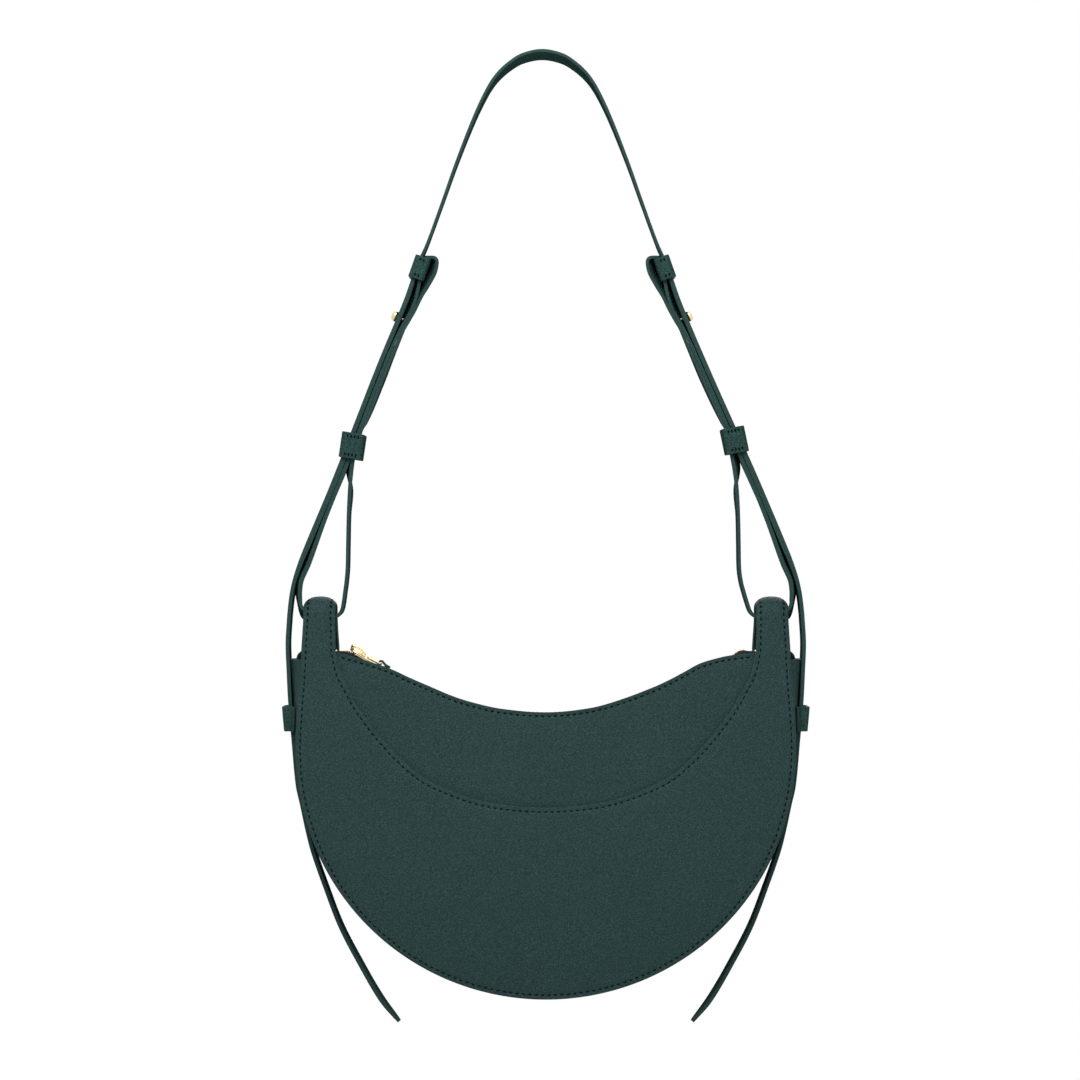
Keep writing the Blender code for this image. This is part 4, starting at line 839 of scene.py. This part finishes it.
def make_teeth(name, side, shift, node):
    count = int((chain_half() - TOOTH_PITCH) / TOOTH_PITCH)
    places = (np.arange(-count, count) + shift) * TOOTH_PITCH
    corners, faces = [], []
    for spot, ahead, up in zip(*chain_frames(places)):
        faces += [tuple(len(corners) + v for v in face) for face in capped_tube(len(TOOTH), 8)]
        for across, half, tall in TOOTH:
            for a, b in octagon(0.72):
                p = spot + ahead * a * half / 1000 + up * b * tall / 1000
                corners.append((p[0], side * across / 1000, p[1]))
    metal(name, corners, faces, "bag", (node,), sharp=40)


def make_tapes():
    half = chain_half() + 0.0045
    spots, _, ups = chain_frames(np.linspace(-half, half, 161))
    sag = np.array((0, 0, 0, -0.0002, -0.0008, -0.0030))[:, None]
    for word, side in FACES.items():
        rows = []
        for p, up in zip(spots, ups):
            far = half_depth(p[1]) - PANEL - YOKE - 2 * GAP
            y = np.array((0.0006, 0.0014, 0.0022, 0.0034, 0.0046, far))
            x, z = (p + up * sag).T
            rows.append(row(x, side * y, z))
        shell(word + "_zip_tape", rows, TAPE, "bag", ("zip_tape_" + word,),
              TAPE_SKIN, TAPE_SKIN, edge=0)


def make_zip_ends():
    """The metal stop at each end of the teeth, and the leather that covers the tapes' ends."""
    level = float(chain(TEETH_END))
    start = 0.869 * R
    deck = float(chain(start)) + TAPE / 2 + GAP + 0.0006
    foot = HORN_FOOT[1] - (INSET + GUSSET / 2 + 3 * GAP + 0.0006)
    bend = np.linspace(0.3, 1.57, 6)
    xs = np.concatenate([np.linspace(start, foot - 0.0030, 6),
                         foot - 0.0030 * (1 - np.sin(bend)), np.full(3, foot)])
    zs = np.concatenate([np.full(6, deck), deck - 0.0050 * (1 - np.cos(bend)),
                         np.linspace(deck - 0.0062, GUSSET_TOP - 0.0024, 3)])
    share = np.linspace(-1, 1, 9)
    box = [(0, 1, 3, 2), (4, 6, 7, 5), (0, 4, 5, 1), (2, 3, 7, 6), (0, 2, 6, 4), (1, 5, 7, 3)]
    for word, side in SIDES.items():
        corners = [(x, y, z) for x in sorted(side * (TEETH_END + GAP + d) for d in (0, 0.0026))
                   for y in (-CHAIN_HALF, CHAIN_HALF) for z in (level - 0.0009, level + 0.0010)]
        metal("end_stop_" + word, corners, box, "bag", ("zip_stop_" + word,),
              bevel=dict(width=0.0005, segments=4))
        rows = []
        for x, z in zip(xs, zs):
            half = half_depth(z) - PANEL - YOKE - 3 * GAP
            out = flare(z) * (1 - share ** 2) * ramp(x, foot - 0.004, 0.004) * 0.8
            rows.append(row(side * (x + out), share * half, z))
        shell("zip_end_cover_" + word, rows, 0.0012, "bag", ("zip_end_" + word,),
              INNER, edge=0.0004)


SLIDER_X = -0.743 * R
SLIDER_TOP, SLIDER_BASE = 0.0012, 0.0011  # thickness of its two plates
TILT = math.asin(SLIDER_X / ZIP_R)
RING_TILT = math.radians(4)
RING_START = 0.0012 + RING_WIRE / 2
RING_LIFT = TOOTH_HALF + SLIDER_BASE + 2 * GAP + RING_WIRE / 2
FAR_BAR = RING_START + RING_LENGTH - RING_WIRE


def on_slider(forward, y, lift):
    """World points of places given along the chain, across it and square to it."""
    c, s = math.cos(TILT), math.sin(TILT)
    forward, lift = np.asarray(forward), np.asarray(lift)
    return row(SLIDER_X + forward * c - lift * s, y,
               float(chain(SLIDER_X)) + forward * s + lift * c)


def on_ring(forward, y, lift):
    """The same for places along the ring, which lies at a slant on the slider."""
    c, s = math.cos(RING_TILT), math.sin(RING_TILT)
    run, lift = np.asarray(forward) - RING_START, np.asarray(lift)
    return on_slider(RING_START + run * c - lift * s, y, RING_LIFT + run * s + lift * c)


def plate(name, outline, low, high, bevel, nodes=()):
    """A slider plate: a flat outline in the chain's plane, given height, with rounded edges."""
    n = len(outline)
    corners = [on_slider(f, y, h) for h in (low, high) for f, y in outline]
    faces = [tuple(range(n)), tuple(reversed(range(n, 2 * n)))]
    faces += [(k, n + k, n + (k + 1) % n, (k + 1) % n) for k in range(n)]
    metal(name, corners, faces, "slider", nodes,
          bevel=dict(width=bevel, segments=3, limit_method="ANGLE"))


def slider_outline(grow=0.0):
    """Seen from above: a broad rounded nose that narrows to the tail."""
    turn = np.radians(np.linspace(90, 270, 13))
    nose = zip(-0.0052 + (0.0046 + grow) * np.cos(turn), (0.0044 + grow) * np.sin(turn))
    tail = ((0.0022, -0.0041), (0.0048, -0.0036), (0.0056, -0.0032))
    tail += tuple((f, -y) for f, y in tail[::-1])
    return [*nose, *((f + grow, y * (1 + grow * 200)) for f, y in tail)]


def make_slider():
    near = TOOTH_HALF + GAP
    plate("slider_top", slider_outline(), near, near + SLIDER_TOP, 0.00045, ("zip_slider",))
    plate("slider_base", slider_outline(-0.0001), -near - SLIDER_BASE, -near, 0.0004,
          ("zip_slider_base",))
    nose = [(f, y) for f, y in slider_outline(-0.0003) if f < 0.0]
    nose += [(0.0006, -0.0040), (0.0006, 0.0040)]
    plate("slider_nose", nose, near + 0.0010, near + 0.0020, 0.0004)
    lip = ((-0.0070, 0.0033), (-0.0052, 0.0043), (0.0024, 0.0041), (0.0054, 0.0036),
           (0.0054, 0.0031), (0.0024, 0.0033))
    for word, side in FACES.items():
        for level, low in (("upper", 0.0004), ("lower", -near - 0.0004)):
            plate(f"slider_lip_{word}_{level}", [(f, side * y) for f, y in lip], low, low + near,
                  0.0002)
    # The bridge: a swept bar over the top plate, broad in the middle
    turn = np.linspace(0, math.pi, 25)
    rise = 0.0021 * np.sin(turn) ** 0.72
    bow = 0.0041 * np.cos(turn) * (1 + 0.12 * np.sin(turn))
    line = np.stack([-0.0048 - bow - 0.5 * rise, near + 0.0017 + rise], 1)
    corners = []
    for p, n, t in zip(line, leftward(line), turn):
        half, thick = 0.0016 + 0.0006 * math.sin(t), 0.00065 + 0.0003 * abs(math.cos(t))
        for a, b in octagon(0.7):
            f, lift = p + n * b * thick
            corners.append(on_slider(f, a * half, lift))
    metal("slider_bridge", corners, capped_tube(len(line), 8), "slider")


def make_ring():
    wire, reach, half = (size / 2 for size in (RING_WIRE, RING_LENGTH - RING_WIRE,
                                               RING_WIDTH - RING_WIRE))
    path = rounded_ring(reach, half, half * 0.45, 8) + (RING_START + reach, 0)
    corners = []
    for p, n in zip(path, -leftward(path, closed=True)):
        for turn in 2 * math.pi * np.arange(12) / 12:
            f, y = p + n * wire * math.cos(turn)
            corners.append(on_ring(f, y, wire * math.sin(turn)))
    metal("pull_link", corners, grid_faces(len(path), 12, True, True), "ring", ("pull_ring",))


def make_pull_tab():
    """A strip of leather folded round the ring's far bar, with its two ends sewn together."""
    pair, eye = (TAB + GAP) / 2, 0.0017
    turn = np.radians(np.linspace(50, 310, 25))
    leg = row(np.linspace(0.0058, eye * 1.7, 8), pair, 0)[:, :2]
    line = np.concatenate([leg, eye * np.stack([np.cos(turn), np.sin(turn)], 1),
                           leg[::-1] * (1, -1)]) + (FAR_BAR, 0)
    width = np.linspace(-0.00265, 0.00265, 9)
    shell("pull_leather", [on_ring(f, width, lift) for f, lift in line], TAB, "tab",
          ("pull_tab",), STRAP_LEATHER, edge=0.0003)
    path = on_ring(FAR_BAR + np.linspace(0.0024, 0.0053, 9), 0.0, pair + TAB / 2)
    outs = np.broadcast_to(on_slider(0, 0, 1) - on_slider(0, 0, 0), path.shape)
    sew("pull_stitches", path, outs, "tab", TAB_PITCH)


# The straps


DOWN = unit(BUNDLE[1] - BUNDLE[0])  # the way that the layers held by the stud run


def bundle_point(share, layer=0.0):
    """A point at a share of the bundle's length, some layers of strap inwards."""
    return (BUNDLE[0] + (BUNDLE[1] - BUNDLE[0]) * share
            + np.array((DOWN[1], -DOWN[0])) * layer * LAYER)


def strap_line(steps=8):
    points = [(0, STRAP / 2), *drop_points(STRAP_SHARES), *(bundle_point(k / 4) for k in range(5)),
              *drop_points(SIDE_SHARES)]
    return half_curve(points, steps)


def loop_line(steps=8):
    """The loop's line, with its lean, drift, thickness and sink at each point.

    It runs from the lower keeper to the tunnel, back up inside, and round the upper keeper.
    """
    coarse = strap_line(2)
    top, foot = STRAP_SHARES[-2][1] * DROP + 0.001, -0.1290
    away = LAYER * (1 + ramp(-coarse[:, 1], 0.1215, 0.0075))
    inside = coarse - leftward(coarse) * away[:, None]
    inside = inside[(coarse[:, 1] > foot) & (coarse[:, 1] < top)][::2]
    first = [bundle_point(*share) for share in (
        (-0.034, 2.5), (0.016, 2.75), (0.049, 2.4), (0.08, 2.05), (0.12, 1.75), (0.2, 1.55),
        (0.5, 1.58), (0.62, 1.74), (0.84, 1.88))]
    layer = [bundle_point(*share) for share in (
        (0.46, 2.42), (0.30, 2.45), (0.17, 2.52), (0.10, 2.68), (0.055, 3.12), (0.016, 3.5))]
    points = np.concatenate([first, drop_points(LOOP_OUTER_SHARES),
                             drop_points(LOOP_INNER_SHARES), layer, drop_points(FOLD_SHARES),
                             inside])
    leans, drifts, sinks, thick = np.zeros((4, len(points)))

    def put(values, start, *millimetres):
        values[start:start + len(millimetres)] = np.array(millimetres) / 1000

    outer = len(first)
    inner = outer + len(LOOP_OUTER_SHARES)
    fold = inner + len(LOOP_INNER_SHARES)
    put(leans, 0, 3.1, 3.8, 3.1, 2.2, 1.4, 0.8)
    put(leans, len(points) - 3, 0.6, 1.3, 2.0)
    put(leans, outer - 2, 0.6, 1.5, 2.7, 3.3, 3.4, 2.2, 0.8)
    put(sinks, outer + 2, 0.8, 3.8, 6.6, 5.6, 3.6, 1.0)
    put(thick, outer - 3, 0.2, 0.5, 0.7, 0.9, 0.9, 0.8, 0.6, 0.2)
    put(drifts, inner + 3, -0.3, -0.8, -1.2, *[-1.4] * 6, -1.2, -0.6)
    put(thick, inner + 9, 0.4, 0.6, 0.3)
    put(leans, inner + 10, 3.6, 4.4, 4.2, 2.6, 0.8)
    put(leans, fold + 2, 0.5, 1.0, 2.0, 3.4, 4.4, 5.6, 5.8, 5.6, 5.2, 4.4, 3.4, 2.0)
    return smooth(np.column_stack([points, leans, drifts, thick + STRAP, sinks]), steps,
                  closed=True)


def band_rows(line, widths, side=1):
    """Rows of a strap: a line in XZ, with its width along Y."""
    share = np.array((-1, -0.93, -0.8, -0.5, 0, 0.5, 0.8, 0.93, 1))
    return row(side * line[:, :1], share * widths[:, None] / 2, line[:, 1:2])


def taper(far):
    """The tail's width: straight sides that round into a blunt point."""
    return 0.0016 + (TAIL_WIDTH - 0.0016) * np.sin(ramp(far, 0, 0.022) * math.pi / 2) ** 0.9


def lean_left(obj):
    """The straps lean a little to the left above the lower keepers, and rise at the top."""
    places = np.empty(3 * len(obj.data.vertices))
    obj.data.vertices.foreach_get("co", places)
    x, z = places[::3], places[2::3]
    x -= 0.0021 * ease((z + 0.262) / 0.097)
    z += 0.0009 * ease((z + 0.060) / 0.055)
    obj.data.vertices.foreach_set("co", places)


def make_straps():
    line = strap_line()
    half = np.concatenate([line[:-1], smooth(body_points(TAIL_SHARES), 8)[1:]])
    far = distances(half)
    at_axis = far[len(line) - 1]
    widths = STRAP_BROAD + (STRAP_NARROW - STRAP_BROAD) * ease(far / 0.125)
    widths -= (STRAP_NARROW - TAIL_WIDTH) * ramp(far, at_axis - 0.032, 0.032)
    tapered = np.minimum(widths, taper(far[-1] - far) + 0.0001)
    widths = np.where(far > at_axis, tapered, widths)
    depth = -half[:, 1]
    below = ramp(depth, 0.122, 0.014)
    thick = (0.0017 + 0.0010 * below + 0.0005 * ramp(depth, 0.222, 0.02)
             - 0.0010 * ramp(depth, 0.285, 0.025))
    half = half - leftward(half) * ((thick - STRAP) / 2 * (below > 0))[:, None]
    rows = band_rows(half, widths)
    shoulder = ramp(half[:, 1], -0.135, 0.03)
    rows[:, :, 0] *= 1 + rows[:, :, 1] / 1.6 * shoulder[:, None]
    thick = np.concatenate([thick[:0:-1], thick])
    strap = shell("strap_and_tails", both_halves(rows), STRAP_MOST, None,
                  ("shoulder_strap", "strap_tail_left", "strap_tail_right"),
                  STRAP_LEATHER, edge=0.0005, full=thick / STRAP_MOST)
    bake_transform(strap)
    loop = loop_line()
    lean, drift, thick, sink = loop[:, 2:, None].transpose(1, 0, 2)
    for word, side in SIDES.items():
        rows = band_rows(loop[:, :2], np.full(len(loop), LOOP_WIDTH), side)
        share = rows[:, :, 1] / LOOP_WIDTH + 0.5
        rows[:, :, 0] -= side * DOWN[1] * lean * share - drift
        rows[:, :, 2] += DOWN[0] * lean * share - sink * share
        shell("loop_" + word, rows, LOOP_MOST, "strap", ("loop_strap_" + word,),
              STRAP_LEATHER, ring=True, edge=0.0005, full=thick[:, 0] / LOOP_MOST)


def rounded_ring(a, b, corner, steps=6):
    points = []
    for ca, cb, first in ((a - corner, b - corner, 0), (corner - a, b - corner, 90),
                          (corner - a, corner - b, 180), (a - corner, corner - b, 270)):
        for k in range(steps + 1):
            turn = math.radians(first + 90 * k / steps)
            points.append((ca + corner * math.cos(turn), cb + corner * math.sin(turn)))
    return np.array(points)


def make_keeper(name, side, centre, tilt, gap, height, body, node):
    """A leather band round the layers: gap is its opening across them, height its own width."""
    up = np.array((-math.sin(tilt), math.cos(tilt)))
    out = np.array((math.cos(tilt), math.sin(tilt)))
    half = STRAP / 2
    lifts = np.array((-0.5, -0.46, -0.38, -0.3, -0.1, 0.1, 0.3, 0.38, 0.46, 0.5)) * height
    rows = []
    for across, y in rounded_ring(gap / 2 + half, KEEPER_HALF + half, 0.0019):
        x, z = (centre + out * across + up * lifts[:, None]).T
        rows.append(row(side * x, y, z))
    shell(name, rows, STRAP, body, (node,), STRAP_LEATHER, ring=True,
          edge=0.0005)
    reach = gap / 2 - 0.0002
    for word, lift in (("low", -0.5), ("high", 0.5)):
        for face, sign in FACES.items():
            x, z = (centre + out * np.linspace(-reach, reach, 12)[:, None]
                    + up * lift * (height - 0.0044)).T
            path = row(side * x, sign * (KEEPER_HALF + STRAP), z)
            outs = np.broadcast_to((0.0, sign, 0.0), path.shape)
            sew(f"{name}_stitches_{word}_{face}", path, outs, body, KEEPER_PITCH,
                ends=0.1)


def make_keepers():
    line = strap_line(2)
    goal = -0.3818 * DROP + 0.0016
    x = np.interp(-goal, -line[:, 1], line[:, 0])
    tilt = math.radians(19.5)
    slack = 0.0056 / 2 - STRAP / 2 - GAP
    upper = np.array((x, goal)) - np.array((math.cos(tilt), math.sin(tilt))) * slack
    lower = np.array((0.7740 * R, -0.6904 * DROP))
    for word, side in SIDES.items():
        make_keeper("upper_band_" + word, side, upper, tilt, 0.0058, 0.0137, "strap",
                    "upper_keeper_" + word)
        along = np.array((0.3853, -0.9228)) * (-0.0018 * side)
        make_keeper("lower_band_" + word, side, lower + along, math.radians(10), 0.0100, 0.0152,
                    "keeper_" + word, "lower_keeper_" + word)


def turned(name, profile, side, node, steps=32):
    """A turned metal piece on the bundle's outward axis at the stud."""
    reach = np.linalg.norm(drop_points([STUD_SHARE])[0] - BUNDLE[0])
    x, z = bundle_point(reach / np.linalg.norm(BUNDLE[1] - BUNDLE[0]))
    out, along = np.array(((-DOWN[1] * side, 0, DOWN[0]), (DOWN[0] * side, 0, DOWN[1])))
    corners = []
    for r, h in profile:
        for turn in 2 * math.pi * np.arange(steps) / steps:
            corners.append((side * x, 0, z) + out * h
                           + (along * math.cos(turn) + (0, math.sin(turn), 0)) * r)
    metal(name, corners, capped_tube(len(profile), steps), "strap", (node,), sharp=45)


def make_studs():
    face, back = STRAP / 2 + GAP, -STRAP / 2 - 2.50 * LAYER
    waist, top = face + 0.0012, back - GAP
    button = [(0.0002, waist + 0.0023)]
    for a in np.linspace(0.15, math.pi / 2, 10):
        button.append((0.0033 * math.sin(a), waist + 0.0023 * math.cos(a)))
    for a in np.linspace(0.25, math.pi / 2, 6):
        button.append((0.0022 + 0.0011 * math.cos(a), waist - 0.0012 * math.sin(a)))
    button += [(0.0008, face), (0.0008, back)]
    screw = [(0.0004, top), (0.0015, top), (0.0016, top - 0.0001), (0.0014, top - 0.0003),
             (0.0009, top - 0.0004), (0.0004, top - 0.0004)]
    for word, side in SIDES.items():
        turned("button_" + word, button, side, "stud_" + word)
        turned("button_screw_" + word, screw, side, "stud_screw_" + word)


def make_side_loops():
    tail = smooth(body_points(TAIL_SHARES), 8)
    outline = spaced(outer_edge(), 400)
    outline = outline[outline[:, 0] > R / 2][::-1]
    half = 0.0007
    span = 0.0070 + 2 * GAP + half
    levels = TUNNEL_Z - 0.0597 - 0.0145 * np.linspace(-0.5, 0.5, 9)
    edge = half_depth(levels) - PANEL - GAP - GUSSET / 2
    skin = np.interp(-levels, -outline[:, 1], outline[:, 0]) - INSET + GUSSET / 2
    high = np.interp(-levels, -tail[:, 1], tail[:, 0]) + STRAP / 2 + 2 * GAP + half + 0.0018
    plan = [(-0.0035, 0), (-0.0018, 0), (-0.0008, 0.05), (0, 0.35), (0, 0.7), (0.0003, 0.9),
            (0.0010, 1.0), (0.003, 1.0), (span, 1.0)]
    plan = [(y - span, stand) for y, stand in plan]
    plan += [(-y, stand) for y, stand in reversed(plan[:-1])]
    for word, side in SIDES.items():
        rows = []
        for y, stand in plan:
            share = np.minimum(abs(y) / edge, 1.0)
            low = skin + flare(levels) * (1 - share ** 2) + 2 * GAP + half
            rows.append(row(side * (low + (high - low) * stand), y, levels))
        shell("side_loop_leather_" + word, rows, 2 * half, "bag", ("side_loop_" + word,),
              STRAP_LEATHER, edge=0.0004)


def dress_boards():
    for name in ("front_board", "back_board"):
        node = frame["nodes"][name]
        node.data.materials.clear()
        node.data.materials.append(BOARD)


# Floor, lights and camera


def white_where_seen(n, plain, kind, goal):
    """White where the camera, a reflection or glass looks, and the plain look elsewhere."""
    white = n.new(kind)
    white.inputs["Color"].default_value = (1, 1, 1, 1)
    white.inputs["Strength"].default_value = 1.0
    ray = n.new("ShaderNodeLightPath").outputs
    seen = n.math("MAXIMUM", ray["Is Camera Ray"], ray["Is Glossy Ray"])
    seen = n.math("MAXIMUM", seen, ray["Is Transmission Ray"])
    mix = n.new("ShaderNodeMixShader")
    for value, socket in zip((seen, plain, white.outputs[0]), mix.inputs):
        n.put(value, socket)
    n.put(mix.outputs[0], n.tree.nodes[goal].inputs[0])


def make_stage():
    skin, n, shader = material("pale_floor", (0.80, 0.80, 0.80), 0.9)
    corners = [(x, y, FLOOR_LEVEL) for x, y in ((-6, -6), (6, -6), (6, 6), (-6, 6))]
    piece("floor", corners, [(0, 1, 2, 3)], None, [skin])
    white_where_seen(n, shader.outputs[0], "ShaderNodeEmission", "Material Output")


def make_world():
    world = bpy.data.worlds.new("studio")
    bpy.context.scene.world = world
    world.use_nodes = True
    plain = world.node_tree.nodes["Background"]
    plain.inputs["Color"].default_value = (1, 1, 1, 1)
    plain.inputs["Strength"].default_value = WORLD_LEVEL
    white_where_seen(Nodes(world.node_tree), plain.outputs[0], "ShaderNodeBackground",
                     "World Output")


def add_lamp(name, place, target, size, power):
    data = bpy.data.lights.new(name, "AREA")
    data.shape = "RECTANGLE"
    data.size, data.size_y = size
    data.energy = power
    lamp = add_object(name, data)
    lamp.location = place
    lamp.rotation_mode = "QUATERNION"
    lamp.rotation_quaternion = (Vector(target) - Vector(place)).to_track_quat("-Z", "Y")


def add_camera():
    data = bpy.data.cameras.new("camera")
    data.lens = 90.8
    data.sensor_width = 36
    camera = add_object("camera", data)
    camera.location = (-0.0034, -1.600, -0.2833)
    camera.rotation_euler = (math.pi / 2, 0, 0)
    bpy.context.scene.camera = camera


make_panels()
make_yokes()
make_gusset()
make_linings()
make_tapes()
make_teeth("teeth_front", -1, 0.0, "zip_teeth_front")
make_teeth("teeth_back", 1, 0.5, "zip_teeth_back")
make_zip_ends()
make_slider()
make_ring()
make_pull_tab()
make_straps()
make_keepers()
make_studs()
make_side_loops()
dress_boards()
make_stage()
make_world()
add_lamp("softbox", (-0.15, -0.70, 0.48), (0, 0, -0.45), (0.9, 0.6), 9.0)
add_lamp("fill", (0.9, -1.1, -0.1), (0, 0, -0.35), (0.9, 1.2), 1.4)
add_lamp("rear", (0.3, 1.3, 0.35), (0, 0, -0.35), (1.2, 0.9), 6)
add_camera()
for obj in bpy.data.objects:
    if obj.name.startswith(LEANING):
        lean_left(obj)
bpy.context.scene.view_settings.view_transform = "Standard"
